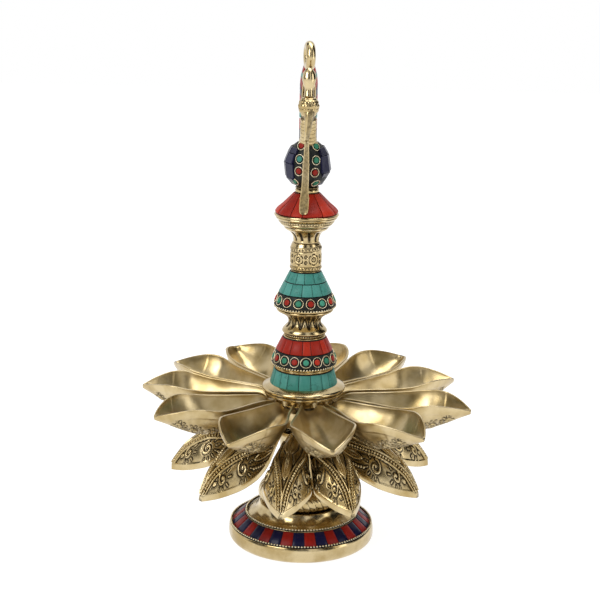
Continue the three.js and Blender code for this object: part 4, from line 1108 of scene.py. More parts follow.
def petal_mesh(name: str, azimuth: float, radius: Array, outer: tuple[Array, Array],
               rim: tuple[Array, Array], inner: tuple[Array, Array], relief: Array,
               wear_and_shade: Array) -> Thing:
    """Joins a petal's outer face, its edges and its inner face into one closed shell.

    Args:
        name: The object's name.
        azimuth: Where the petal points.
        radius: Distance of each station from the stem's axis.
        outer: Side position and level of the outer face, station by station.
        rim: The same for the right edge, which is mirrored for the left one.
        inner: The same for the inner face, from right to left.
        relief: How far the outer face stands out.
        wear_and_shade: Wear of the outer face.

    Returns:
        The petal.
    """
    stations = len(radius)
    side = np.hstack([outer[0], rim[0], inner[0], -rim[0][:, ::-1]])
    level = np.hstack([outer[1], rim[1], inner[1], rim[1][:, ::-1]])
    away = np.broadcast_to(radius[:, None], side.shape)
    points = np.stack([away, side, level], -1)
    columns = outer[0].shape[1]
    face = points[:, :columns]
    down = np.gradient(face, axis=0)
    over = np.gradient(face, axis=1)
    normal = np.cross(down, over)
    normal /= np.linalg.norm(normal, axis=2)[..., None] + 1e-12
    middle = normal[stations // 2, columns // 2]
    belly_down = inner[1][stations // 2].mean() > outer[1][stations // 2].mean()
    if (middle[2] > 0) == belly_down:
        normal = -normal
    points[:, :columns] = face + relief[..., None] * normal
    shade = np.ones(side.shape)
    shade[:, :columns] = wear_and_shade
    x, y = points[..., 0].copy(), points[..., 1].copy()
    points[..., 0] = x * math.sin(azimuth) + y * math.cos(azimuth)
    points[..., 1] = -x * math.cos(azimuth) + y * math.sin(azimuth)
    return skinned(name, points, shade)


def surface_lengths(side: Array, level: Array, radius: Array) -> tuple[Array, Array]:
    """Lengths over a petal's outer face, in millimetres.

    Args:
        side: Side position of each point of the face.
        level: Its level.
        radius: Distance of each station from the stem's axis.

    Returns:
        Length down to the tip along the middle, and length across from the middle.
    """
    middle = side.shape[1] // 2
    down = np.hypot(np.diff(radius), np.diff(level[:, middle]))
    to_tip = np.concatenate([np.cumsum(down[::-1])[::-1], [0]])
    steps = np.hypot(np.diff(side, axis=1), np.diff(level, axis=1))
    sums = np.concatenate([np.zeros((len(side), 1)), np.cumsum(steps, axis=1)], axis=1)
    across = sums - sums[:, middle : middle + 1]
    return np.broadcast_to(to_tip[:, None], side.shape), across


def rounded_peak(width: Array, room: Array, reach: int = 15) -> Array:
    """The smaller of two half widths, rounded over so many stations where they cross."""
    least = np.minimum(width, room)
    kernel = np.hanning(2 * reach + 3)[1:-1]
    padded = np.concatenate([np.full(reach, least[0]), least, np.full(reach, least[-1])])
    blurred = np.convolve(padded, kernel / kernel.sum(), "valid")
    return np.where(np.arange(len(least)) < len(least) - 2 * reach, np.minimum(blurred, least), least)


@dataclass
class PetalTier(SubAssembly):
    """Petals on root tabs: what oil cups and carved leaves have in common.

    Tables give a share of the way from the tab to the tip, then millimetres.
    """

    prefix: str = ""
    label: str = ""
    count: int = 0
    opens: int = 1
    finish: CastBrass = PETAL_BRASS
    tab_inner: float = 15.5
    tab_radius: float = 22.0
    side_gap: float = 0.9
    wall: float = 1.5
    edge: float = 0.45
    tip_rise: float = 0.0
    flare: float = 1.0
    stations: int = 140
    columns: int = 95
    inner_columns: int = 41
    half_widths: tuple = ()
    rims: tuple = ()
    bellies: tuple = ()

    def tab_side(self) -> float:
        """Level of the side of the tabs that the petals open towards."""
        raise NotImplementedError

    def chasing(self, to_tip: Array, across: Array) -> tuple[Array, Array]:
        """Relief in millimetres and wear, at lengths down to the tip and across the outer face."""
        raise NotImplementedError

    def build(self) -> None:
        """Builds the petals."""
        places = petal_places(self.prefix, self.count)
        for place, half_pitch in zip(places, half_pitches(places)):
            name = place.node.replace(self.prefix, self.label)
            petal = self.petal(name, place, half_pitch)
            self.settle(petal, self.finish, place.node)

    def petal(self, name: str, place: PetalPlace, half_pitch: float) -> Thing:
        """One petal.

        Args:
            name: The object's name.
            place: Where it lies.
            half_pitch: Half the angle to the nearer neighbour.

        Returns:
            The petal as one closed shell.
        """
        share = np.concatenate([[-0.08, -0.01], np.linspace(0, 1, self.stations)])
        radius = self.tab_radius + share * (place.reach - self.tab_radius)
        radius[0] = self.tab_inner
        along = np.clip(share, 0, 1)
        room = radius * math.tan(half_pitch) - self.side_gap / 2 / math.cos(half_pitch)
        half = np.minimum(rounded_peak(smooth_value(self.half_widths, along), room), room)
        bend = 0.0
        if self.tip_rise:
            bend = place.tip_level + self.tip_rise - self.tab_side() - self.rims[-1][1]
        rim = self.tab_side() + bend * along**2 + smooth_value(self.rims, along)
        belly = self.tab_side() + bend * along**2 + smooth_value(self.bellies, along)
        edge = np.minimum(self.edge, 0.3 * half)
        wall = np.minimum(self.wall, 0.55 * half)
        lip = rim - self.opens * edge
        angle = np.linspace(-1, 1, self.columns) * math.pi / 2
        outer_side = half[:, None] * np.sin(angle)
        swell = np.clip(np.cos(angle), 0, 1) ** self.flare
        outer_level = lip[:, None] + (belly - lip)[:, None] * swell
        turn = np.array([0.3, 0.65, 1.0]) * math.pi / 2
        lip_out = half[:, None] - edge[:, None] * (1 - np.cos(turn))
        lip_in = half[:, None] - wall[:, None] + edge[:, None] * (1 - np.cos(turn[::-1]))
        lip_level = rim[:, None] - self.opens * edge[:, None] * (1 - np.sin(turn))
        inner_angle = np.linspace(1, -1, self.inner_columns) * math.pi / 2
        depth = np.maximum((lip - belly) * self.opens - wall, 0.3)
        fill = smoothstep(0.95, 0.995, along) + 1 - smoothstep(-0.01, 0.05, share)
        depth = self.opens * depth * (1 - 0.9 * np.clip(fill, 0, 1))
        inner_side = (half - wall)[:, None] * np.sin(inner_angle)
        hollow = np.clip(np.cos(inner_angle), 0, 1) ** self.flare
        inner_level = lip[:, None] - depth[:, None] * hollow
        relief, wear_and_shade = self.chasing(*surface_lengths(outer_side, outer_level, radius))
        rims = (np.hstack([lip_out, lip_in]), np.hstack([lip_level, lip_level[:, ::-1]]))
        faces = ((outer_side, outer_level), rims, (inner_side, inner_level))
        return petal_mesh(name, place.azimuth, radius, *faces, relief, wear_and_shade)


@dataclass
class UpperTier(PetalTier):
    """Eleven oil cups: smooth bowls with turned-out lips, lightly chased underneath."""

    prefix: str = "upper_petal"
    label: str = "oil_cup"
    count: int = 11
    tip_rise: float = 1.3
    flare: float = 1.4
    tab_thickness: float = 3.0
    margin: float = 5.6
    half_widths: tuple = (
        (0, 4.6), (0.08, 6.6), (0.2, 9.6), (0.3, 12.4), (0.4, 15.6), (0.5, 18.7), (0.58, 20.2),
        (0.66, 20.0), (0.74, 18.2), (0.82, 15.0), (0.9, 10.2), (0.96, 5.4), (1, 1.4),
    )
    rims: tuple = (
        (0, 0), (0.07, 5.6), (0.205, 6.8), (0.365, 7.2), (0.51, 7.8), (0.635, 9.4), (0.715, 10.6),
        (0.807, 10.3), (0.91, 7.9), (1, 4.6),
    )
    bellies: tuple = (
        (0, -3), (0.07, -2.2), (0.205, -5.5), (0.365, -10), (0.51, -11.8), (0.635, -11.4),
        (0.715, -9.4), (0.807, -6), (0.91, -1.6), (1, 2),
    )

    def tab_side(self) -> float:
        """The top of the tabs, which lie on the hub drum."""
        return span_of("hub_drum").top + CLEARANCE + self.tab_thickness

    def chasing(self, to_tip: Array, across: Array) -> tuple[Array, Array]:
        """Paisleys and small leaves on both sides of a plain stem, inside a smooth margin."""
        work = Engraving(to_tip, np.abs(across))
        margin = np.minimum(np.abs(across[:, -1:]) - np.abs(across), to_tip - 4.0)
        inside = smoothstep(self.margin, self.margin + 1.0, margin) * smoothstep(78.0, 70.0, to_tip)
        work.cord(spline([(6, 1.4), (20, 2.2), (40, 3.2), (60, 2.6)]), 0.6, 0.45)
        for start, size in ((15, 2.6), (26, 3.4), (38.5, 3.8), (51.5, 3.4), (63, 2.6)):
            centre = (start, 5.2 + 1.1 * size)
            work.curl(centre, size, 1.4, 150, 0.55)
            work.comb(centre, size + 0.9, size + 2.6, -60, 130, 7)
            work.leaf((start - 5, 4.4), (start - 1.5, 3.6 + size), 1.1)
        return work.result(inside, 0.4, 0.15, 0.75)


@dataclass
class LowerTier(PetalTier):
    """Ten leaves that hang mouth down, carved with beaded straps, curls and combs."""

    prefix: str = "lower_petal"
    label: str = "carved_leaf"
    count: int = 10
    opens: int = -1
    finish: CastBrass = CARVED_BRASS
    wall: float = 2.0
    edge: float = 0.5
    stations: int = 206
    columns: int = 141
    inner_columns: int = 25
    margin: float = 3.8
    half_widths: tuple = (
        (0, 4.6), (0.124, 8.6), (0.28, 12.6), (0.434, 15.4), (0.54, 16.0), (0.64, 15.4), (0.73, 13.2),
        (0.853, 8.8), (0.938, 4.9), (1, 1.7),
    )
    rims: tuple = (
        (0, 0), (0.124, -5), (0.28, -14.4), (0.434, -20), (0.59, -23.6), (0.73, -26.8),
        (0.853, -29.4), (0.938, -30.7), (1, -31.4),
    )
    bellies: tuple = (
        (0, 3), (0.124, 4.6), (0.28, 3.9), (0.434, 1.6), (0.59, -1.8), (0.73, -7.5), (0.853, -14),
        (0.938, -21), (1, -27.2),
    )
    # Length down to the tip, and length across, of the middle of each strap
    strap: tuple = (
        (0.5, 1.6), (8, 2.0), (14, 2.6), (22, 4.2), (30, 6.3), (38, 8.7), (46, 10.6), (56, 11.6),
        (66, 11.4),
    )

    def tab_side(self) -> float:
        """The underside of the tabs, which lie on the clamp disc."""
        return span_of("lower_clamp_disc").top + CLEARANCE

    def chasing(self, to_tip: Array, across: Array) -> tuple[Array, Array]:
        """Two beaded straps that meet at the tip, with curls and leaves outside and between."""
        work = Engraving(to_tip, np.abs(across))
        margin = np.abs(across[:, -1:]) - np.abs(across)
        inside = smoothstep(self.margin, self.margin + 0.6, margin)
        line = spline(self.strap)
        run = np.gradient(line, axis=0)
        run /= np.linalg.norm(run, axis=1)[:, None]
        beside = np.stack([-run[:, 1], run[:, 0]], -1)
        work.beads(line, 2.1, 1.0, 1.5)
        for shift in (-1.85, 1.85):
            work.cord(line + shift * beside, 0.66, 1.4)
        work.beads(spline([(42, 21.0), (49, 22.2), (56, 21.8), (64, 19.5)]), 2.1, 0.95, 0.9)
        for centre, size, turns, start, first, last, teeth in (
            ((19.5, 9.8), 3.4, 1.2, 200, -50, 150, 6),
            ((35.0, 16.4), 4.8, 1.3, 180, -60, 120, 7),
        ):
            work.curl(centre, size, turns, start, 0.85)
            work.comb(centre, size + 1.4, size + 3.6, first, last, teeth)
        for start, end, half, lift in (
            ((21, 0.0), (45, 0.0), 3.4, 1.5), ((41, 0.0), (66, 0.0), 5.0, 1.8),
            ((11, 5.8), (15, 7.9), 1.2, 0.8), ((45, 16.6), (62, 16.0), 2.6, 1.2),
        ):
            work.leaf(start, end, half, lift)
        for at in (4.5, 7.5, 10.5):
            work.cord(np.array([(at, 0.0), (at + 1.4, 1.1)]), 0.42, 0.5)
        return work.result(inside, 0.5, 0.2, 1.0)


@dataclass
class DripCollar(SubAssembly):
    """Broad turned collar over the roots of the petals, raised round the foot of the cone."""

    lip_gap: float = 0.4
    lip_rise: float = 3.2

    def build(self) -> None:
        """Builds the collar with its sloping top and the two soft beads of its edge."""
        place = span_of("drip_collar")
        cone = span_of("lower_cone_core")
        deck = cone.bottom - CLEARANCE
        hub = span_of("hub_drum").radius
        wide = place.radius
        inner = cone.radius + self.lip_gap
        high = deck + self.lip_rise
        corners = [
            (self.bore, place.bottom, 0.2), (hub, place.bottom, 0.5), (hub + 1.0, deck - 4.4, 1.4),
            (wide - 2.0, deck - 4.2, 0.8), (wide - 0.9, deck - 3.2, 1.0), (wide - 1.2, deck - 1.6, 0.9),
            (wide - 0.1, deck - 0.9, 0.5), (wide, deck + 0.3, 0.8), (wide - 0.6, deck + 1.1, 0.5),
            (inner + 2.6, high - 0.7, 1.6), (inner + 0.9, high, 0.5), (inner, high - 0.3, 0.3),
            (inner, deck, 0.1), (self.bore, deck, 0.2),
        ]
        collar = turned("collar_turning", filleted(corners, steps=5), 144)
        self.settle(collar, SATIN_BRASS, "drip_collar")


@dataclass(frozen=True)
class ChipRow:
    """One row of chips on a cone: its share of the band, number, phase and unevenness."""

    low: float
    high: float
    count: int
    phase: float = 0.0
    uneven: float = 3.4
    seed: int = 2


@dataclass
class InlaidCone(SubAssembly):
    """A tapering core with bands of chips, and a band of wire hoops round stones."""

    core: str = ""
    chips: str = ""
    dots: str = ""
    wire: str = ""
    finish: ChipStone = TURQUOISE
    rows: tuple[ChipRow, ...] = ()
    core_inset: float = 1.9
    hoops: int = 17
    hoop_radius: float = 3.2
    hoop_wire: float = 0.2
    hoop_phase: float = 0.0
    hoop_uneven: float = 1.2
    hoop_seat: float = 0.13
    stone_radius: float = 1.95
    bead_pitch: float = 1.9
    bead: float = 0.74
    squeeze: float = 0.95
    bedding: tuple = ((-0.42, -0.42, 0.2), (0.42, -0.42, 0.2), (0.42, 0.42, 0.2), (-0.42, 0.42, 0.2))
    joint: float = 0.6
    bed_depth: float = 0.5
    bed_root: float = 1.6
    chip_stand: float = 0.25

    def build(self) -> None:
        """Builds the core, the bands and the beaded wire."""
        low, high = self.taper(self.chips)
        self.build_core()
        self.build_chips(low, high)
        if self.dots:
            self.build_dots(*self.taper(self.dots))
        if self.wire:
            sizes = (self.bead_pitch, self.bead, self.squeeze)
            self.beaded_wire(self.wire, *sizes, self.bedding, 96, slant=0.3)

    def taper(self, name: str) -> tuple[Array, Array]:
        """Outer radius and level at the foot and at the top of a band's node."""
        corners = node_corners(name)
        reach = np.hypot(corners[:, 0], corners[:, 1])
        ends = []
        for level in (corners[:, 2].min(), corners[:, 2].max()):
            ends.append(np.array([reach[np.abs(corners[:, 2] - level) < 0.05].max(), level]))
        return ends[0], ends[1]

    def build_core(self) -> None:
        """The brass core: a plinth below the bands and a thin cap above them."""
        place = span_of(self.core)
        low, high = self.taper(self.dots or self.chips)
        _, top = self.taper(self.chips)
        seat, inset = place.radius, self.core_inset
        corners = [(self.bore, place.bottom, 0.2), (seat, place.bottom, 0.4)]
        if self.dots:
            corners.append((seat, low[1] - 0.3, 0.3))
        corners += [
            (low[0] - inset, low[1] - 0.3, 0.1), (high[0] - inset, high[1], 0.1),
            (top[0] - inset, top[1], 0.1), (top[0] - inset, top[1] + 0.3, 0.1),
            (top[0] - 0.5, top[1] + 0.3, 0.2), (top[0] - 0.5, place.top, 0.3), (self.bore, place.top, 0.2),
        ]
        core = turned(self.core + "_turning", filleted(corners), 96)
        self.settle(core, SATIN_BRASS, self.core)

    def bed(self, name: str, low: Array, high: Array, depth: float, node_name: str) -> None:
        """Black resin between two ends of the taper, sunk to a depth."""
        root = self.bed_root
        corners = [(low[0] - root, low[1], 0.05), (low[0] - depth, low[1], 0.1),
                   (high[0] - depth, high[1], 0.1), (high[0] - root, high[1], 0.05)]
        self.settle(turned(name, filleted(corners, steps=2), 96), LAC, node_name)

    def build_chips(self, low: Array, high: Array) -> None:
        """Rows of chips that follow the cone."""
        self.bed(self.chips + "_bed", low, high, self.bed_depth, self.chips)
        run = high - low
        tilt = math.atan2(run[1], run[0])
        length = float(np.linalg.norm(run))
        deep = self.bed_depth + self.chip_stand
        pieces = []
        for k, row in enumerate(self.rows):
            middle = low + run * (row.low + row.high) / 2
            height = (row.high - row.low) * length - self.joint
            width = FULL_TURN * middle[0] / row.count - self.joint
            tile = tile_form(width, height, deep, 0.16)
            seat = (middle[0] - deep * math.sin(tilt), middle[1] + deep * math.cos(tilt))
            ring = Ring(row.count, *seat, slope=math.degrees(tilt), phase=row.phase, uneven=row.uneven,
                        seed=row.seed)
            pieces.append(ring.set_with(f"{self.chips}_row_{k + 1}", tile))
        self.settle(joined(self.chips + "_tiles", pieces), self.finish)

    def build_dots(self, low: Array, high: Array) -> None:
        """Wire hoops round stones, red and green in turn, in the black resin."""
        self.bed(self.dots + "_resin", low, high, 0.1, self.dots)
        run = high - low
        tilt = math.atan2(run[1], run[0])
        middle = (low + high) / 2
        out = self.hoop_seat
        seat = (middle[0] + out * math.sin(tilt), middle[1] - out * math.cos(tilt))
        step = 360.0 / self.hoops
        across = {"slope": math.degrees(tilt), "uneven": self.hoop_uneven, "seed": 7}
        ring = Ring(self.hoops, *seat, phase=self.hoop_phase, **across)
        hoop = hoop_form(self.hoop_radius, self.hoop_wire)
        self.settle(ring.set_with(self.dots + "_hoops", hoop), WIRE_BRASS_PAINTED_HIGHLIGHT)
        stone = stone_form(self.stone_radius, 0.5, sides=9)
        across["uneven"] *= 0.6
        for first, label in enumerate(("green", "coral")):
            count = (self.hoops + 1 - first) // 2
            half = Ring(count, *seat, phase=self.hoop_phase + first * step, step=2 * step, **across)
            self.settle(half.set_with(f"{self.dots}_{label}_stones", stone), STONES[label])


@dataclass
class Spool(SubAssembly):
    """Waisted turning with pointed leaves chased round its waist and a roped foot."""

    leaves: int = 13
    ropes: int = 54

    def cuts(self, theta: Array, radius: Array, level: Array) -> Array:
        """V cuts round the waist and slanting notches round the foot, none on the bore."""
        place = span_of("spool")
        share = (level - place.bottom) / place.height
        pitch = FULL_TURN / self.leaves
        beside = np.abs((theta % pitch) / pitch - 0.5) * 2
        edge = 0.12 + 0.8 * np.clip((share - 0.34) / 0.36, 0, 1)
        line = np.exp(-(((beside - edge) / 0.17) ** 2)) + 0.8 * np.exp(-((beside / 0.12) ** 2))
        waist = smoothstep(0.3, 0.38, share) * smoothstep(0.78, 0.68, share)
        rope = 0.5 + 0.5 * np.sin(self.ropes * theta + 9 * share)
        foot = np.clip(1 - np.abs(share - 0.05) / 0.05, 0, 1)
        return -(0.6 * waist * line + 0.5 * foot * rope) * (radius > 6)

    def build(self) -> None:
        """Builds the spool."""
        place = span_of("spool")
        low, rise = place.bottom, place.height
        foot, waist, wide = 14.4, 10.7, place.radius
        shape = (
            (foot - 1.4, 0), (foot - 0.9, 0.04), (foot - 1.2, 0.085), (foot + 0.1, 0.12), (foot + 0.3, 0.17),
            (foot - 0.4, 0.25), (foot - 1.8, 0.33), (waist + 0.6, 0.41), (waist, 0.5), (waist + 0.2, 0.6),
            (waist + 1.2, 0.69), (waist + 3.2, 0.78), (waist + 5.8, 0.87), (wide - 0.7, 0.93),
            (wide - 0.6, 0.98), (wide - 1.0, 1),
        )
        outline = spline([(radius, low + share * rise) for radius, share in shape], 8)
        bore = [(8.0, low + rise), (self.bore, low + rise), (self.bore, low), (8.0, low)]
        piece = turned("waisted_spool", np.vstack([outline, bore]), self.leaves * 20, self.cuts, 0.5)
        self.settle(piece, CARVED_BRASS, "spool")


@dataclass
class Barrel(SubAssembly):
    """Engraved barrel: rings with dots and small arcs, between two notched rows."""

    notches: int = 30
    rings: int = 6

    def engraved(self, theta: Array, radius: Array, level: Array) -> Array:
        """Depth of the lines and the notches."""
        place = span_of("engraved_barrel")
        up = level - place.bottom
        slant = 0.8 * np.sin(theta - 0.4)
        arc = theta * place.radius
        pitch = FULL_TURN * place.radius / self.rings
        x = (arc % pitch) - pitch / 2
        y = up - 0.44 * place.height
        away = np.hypot(x, y)
        turn = np.arctan2(y, x)
        circle = np.exp(-(((away - 1.4) / 0.34) ** 2)) + np.exp(-((away / 0.46) ** 2))
        arcs = np.exp(-(((away - 3.1 - 0.5 * np.abs(np.sin(3 * turn))) / 0.36) ** 2))
        arcs *= smoothstep(0.15, 0.35, np.abs(np.sin(3 * turn)))
        between = np.hypot(np.abs(x) - pitch / 2, np.abs(y) - 1.9)
        buds = np.exp(-(((between - 0.9) / 0.3) ** 2)) + np.exp(-((between / 0.35) ** 2))
        inside = smoothstep(2.7, 3.1, up) * smoothstep(place.height - 4.6, place.height - 5.0, up - slant)
        depth = 0.42 * inside * np.maximum.reduce([circle, arcs, buds])
        for middle, count in ((1.5, self.notches), (place.height - 3.4 + slant, self.notches)):
            row = np.clip(1 - np.abs(up - middle) / 1.0, 0, 1) ** 0.5
            depth = np.maximum(depth, 0.42 * row * (1 - np.abs(np.sin(count * theta / 2))) ** 0.8)
            for beside in (-1.25, 1.25):
                depth = np.maximum(depth, 0.3 * np.exp(-(((up - middle - beside) / 0.2) ** 2)))
        return -depth * (radius > 6)

    def build(self) -> None:
        """Builds the barrel."""
        place = span_of("engraved_barrel")
        low, rise, wide = place.bottom, place.height, place.radius
        outline = filleted([
            (wide - 0.6, low, 0.4), (wide, low + 1.5, 0.9), (wide - 0.4, low + 3.0, 0.5),
            (wide - 0.2, low + 0.45 * rise, 4.0), (wide - 0.5, low + rise - 4.8, 0.5),
            (wide - 0.1, low + rise - 3.4, 0.9), (wide - 0.9, low + rise - 1.7, 0.6),
            (wide - 1.6, low + rise, 0.5), (8.0, low + rise, 0), (self.bore, low + rise, 0),
            (self.bore, low, 0), (8.0, low, 0),
        ])
        piece = turned("barrel_casting", densified(outline, 0.24, 6.0), 300, self.engraved, 0.4)
        self.settle(piece, CARVED_BRASS, "engraved_barrel")


def densified(profile: Array, step: float, beyond: float) -> Array:
    """Adds points to a closed profile where it lies beyond a radius, so that relief shows."""
    made = []
    for here, there in zip(profile, np.roll(profile, -1, 0)):
        length = float(np.linalg.norm(there - here))
        count = max(1, round(length / step)) if min(here[0], there[0]) > beyond else 1
        made += [here + (there - here) * t for t in np.arange(count) / count]
    return np.array(made)


@dataclass
class CupAndCanopy(SubAssembly):
    """Ringed cup on a fluted neck, and the low cone of red chips on it."""

    stud_bore: float = 3.5
    stud_socket: float = 9.5
    rod_socket: float = 8.7
    tile_depth: float = 0.8
    tile_drop: float = 0.18
    notches: int = 60
    flutes: int = 11
    chips: int = 12
    joint: float = 0.42
    # Radius, height above the foot of the cup, and fillet
    rings: tuple = (
        (8.4, 0, 0.3), (8.3, 2.2, 1.5), (8.9, 4.4, 1.5), (10.4, 6.4, 1.2), (12.8, 8.1, 1.0),
        (13.7, 8.5, 0.3), (14.5, 9.6, 0.6), (14.2, 10.4, 0.2), (15.8, 10.9, 0.8), (17.1, 12.2, 0.7),
        (16.8, 12.8, 0.2), (17.8, 13.1, 0.4), (18.1, 14.0, 0.4), (17.8, 14.6, 0.2), (19.2, 15.0, 0.6),
        (20.0, 16.3, 0.6), (19.7, 16.8, 0.2), (20.7, 17.2, 0.5), (20.8, 18.3, 0.5), (19.9, 18.8, 0.3),
    )

    def milled(self, theta: Array, radius: Array, level: Array) -> Array:
        """Notches round the two narrow rings, and cuts down the neck."""
        up = level - span_of("stepped_cup").bottom
        notch = 0.5 + 0.5 * np.sin(self.notches * theta)
        near = np.clip(1 - np.abs(up - 13.6) / 0.9, 0, 1)
        neck = smoothstep(0.8, 1.8, up) * smoothstep(8.0, 6.6, up)
        flute = np.abs(np.sin(self.flutes * theta / 2 + 0.1 * up)) ** 5
        return -(0.45 * near * notch + 0.5 * neck * flute) * (radius > 8)

    def build(self) -> None:
        """Builds the cup, the bed and the chips."""
        place = span_of("stepped_cup")
        canopy = span_of("canopy_chips")
        low, rim = place.bottom, canopy.bottom - CLEARANCE
        socket, roof = place.top - self.stud_socket, low + self.rod_socket
        corners = [(0.01, roof, 0), (self.bore, roof, 0), (self.bore, low, 0)]
        corners += [(radius, low + up, fillet) for radius, up, fillet in self.rings]
        corners += [(canopy.radius - 2.3, rim, 0.1), (5.4, place.top, 0.2), (self.stud_bore, place.top, 0.1),
                    (self.stud_bore, socket, 0), (0.01, socket, 0)]
        cup = turned("ringed_cup_turning", densified(filleted(corners), 0.5, 8.0), 240, self.milled, 0.5)
        self.settle(cup, SATIN_BRASS, "stepped_cup")
        self.build_canopy(canopy)

    def build_canopy(self, place: Span) -> None:
        """One row of long red chips, each bent over the shoulder, in a black bed."""
        wide, low, high = place.radius, place.bottom, place.top
        outline = filleted([(wide - 0.2, low, 0), (wide, low + 1.0, 0.8), (wide - 1.4, low + 2.9, 2.4),
                            (13.0, low + 7.9, 3.0), (7.4, high, 0)], closed=False)
        inner = outline - np.array([0.45, 0.5])
        bed = np.vstack([[(wide - 2.2, low)], inner[1:], [(inner[-1][0] - 1.4, high - 0.4)]])
        self.settle(turned("canopy_bed", bed, 96), LAC, "canopy_chips")
        chance = np.random.default_rng(11)
        cuts = (np.arange(self.chips) + 0.36 * chance.uniform(-1, 1, self.chips)) / self.chips * FULL_TURN
        fine = densified(outline, 1.2, 0.0)[: -1]
        grids = []
        for start, end in zip(cuts, [*cuts[1:], cuts[0] + FULL_TURN]):
            half = (end - start) / 2 - self.joint / 2 / fine[:, :1]
            side = np.array([-1, -0.94, -0.5, 0, 0.5, 0.94, 1])
            theta = (start + end) / 2 + half * side
            grids.append(about_stem(theta, *fine.T[..., None]))
        tiles = chips_of_grids("canopy_red_tiles", grids, self.tile_depth, self.tile_drop, 12)
        self.settle(tiles, CORAL)


def chips_of_grids(name: str, grids: Sequence[Array], thickness: float, rounding: float,
                   seed: int) -> Thing:
    """Makes a curved chip of each grid of points of its face.

    Args:
        name: The object's name.
        grids: Points of each chip's face, row by row, in millimetres.
        thickness: Depth of the chips below their faces.
        rounding: How far the face drops at its edges.
        seed: Seed of the chips' tones.

    Returns:
        One mesh of closed chips.
    """
    chance = np.random.default_rng(seed)
    points, faces, tones = [], [], []
    for grid in grids:
        normal = np.cross(np.gradient(grid, axis=0), np.gradient(grid, axis=1))
        normal /= np.linalg.norm(normal, axis=2)[..., None] + 1e-12
        centre = grid.mean(axis=(0, 1)) * [1, 1, 0]
        if np.sum(normal[len(normal) // 2, normal.shape[1] // 2] * centre) < 0:
            normal = -normal
        drop = np.full(grid.shape[:2], rounding)
        drop[1:-1, 1:-1] = 0.0
        corners, quads = slab(grid - drop[..., None] * normal, grid - thickness * normal)
        faces.append(quads + sum(map(len, points)))
        points.append(corners)
        tones.append(np.full(len(corners), chance.random()))
    made = mesh_piece(name, np.vstack(points), np.vstack(faces))
    store(made.data, "tone", np.concatenate(tones))
    return made


def chips_mesh(name: str, patches: Sequence[Array], thickness: float, bevel: float = 0.22,
               joint: float = 0.4, seed: int = 1) -> Thing:
    """Cuts a flat chip for each four-cornered patch.

    Args:
        name: The object's name.
        patches: Four corners of each chip's face, in turn about it, in millimetres.
        thickness: Depth of the chips below their faces.
        bevel: Width of the ground edge.
        joint: Width of the joint left between chips.
        seed: Seed of the chips' tones.

    Returns:
        One mesh of closed chips.
    """
    chance = np.random.default_rng(seed)
    points, faces, tones = [], [], []
    for patch in patches:
        corners = np.asarray(patch, float)
        centre = corners.mean(axis=0)
        normal = np.cross(corners[2] - corners[0], corners[3] - corners[1])
        normal /= np.linalg.norm(normal)
        reach = np.linalg.norm(corners - centre, axis=1)[:, None]
        edge = centre + (corners - centre) * (1 - 0.7 * joint / reach)
        face = centre + (corners - centre) * (1 - 0.7 * (joint + 2 * bevel) / reach)
        first = 12 * len(tones)
        points += [edge - thickness * normal, edge - bevel * normal, face]
        for low in (first, first + 4):
            faces += [[low + k, low + (k + 1) % 4, low + 4 + (k + 1) % 4, low + 4 + k] for k in range(4)]
        faces += [[first + 3, first + 2, first + 1, first], [first + 8 + k for k in range(4)]]
        tones.append(chance.random())
    made = mesh_piece(name, np.vstack(points), np.array(faces), smooth=False)
    store(made.data, "tone", np.repeat(tones, 12))
    return made


def forms_mesh(name: str, form: Form, places: Sequence[tuple[Array, Array, float]]) -> Thing:
    """Sets copies of a form on a surface.

    Args:
        name: The object's name.
        form: Corners and faces of the form, z outwards.
        places: Point, outward normal and size of each copy.

    Returns:
        One mesh of closed copies.
    """
    points, faces = [], []
    for k, (at, normal, size) in enumerate(places):
        out = normal / np.linalg.norm(normal)
        side = np.cross([0.0, 0.0, 1.0], out)
        side /= np.linalg.norm(side)
        axes = np.stack([side, np.cross(out, side), out])
        points.append(at + (form[0] * size) @ axes)
        faces.append(form[1] + k * len(form[0]))
    return mesh_piece(name, np.vstack(points), np.vstack(faces), merge=True)


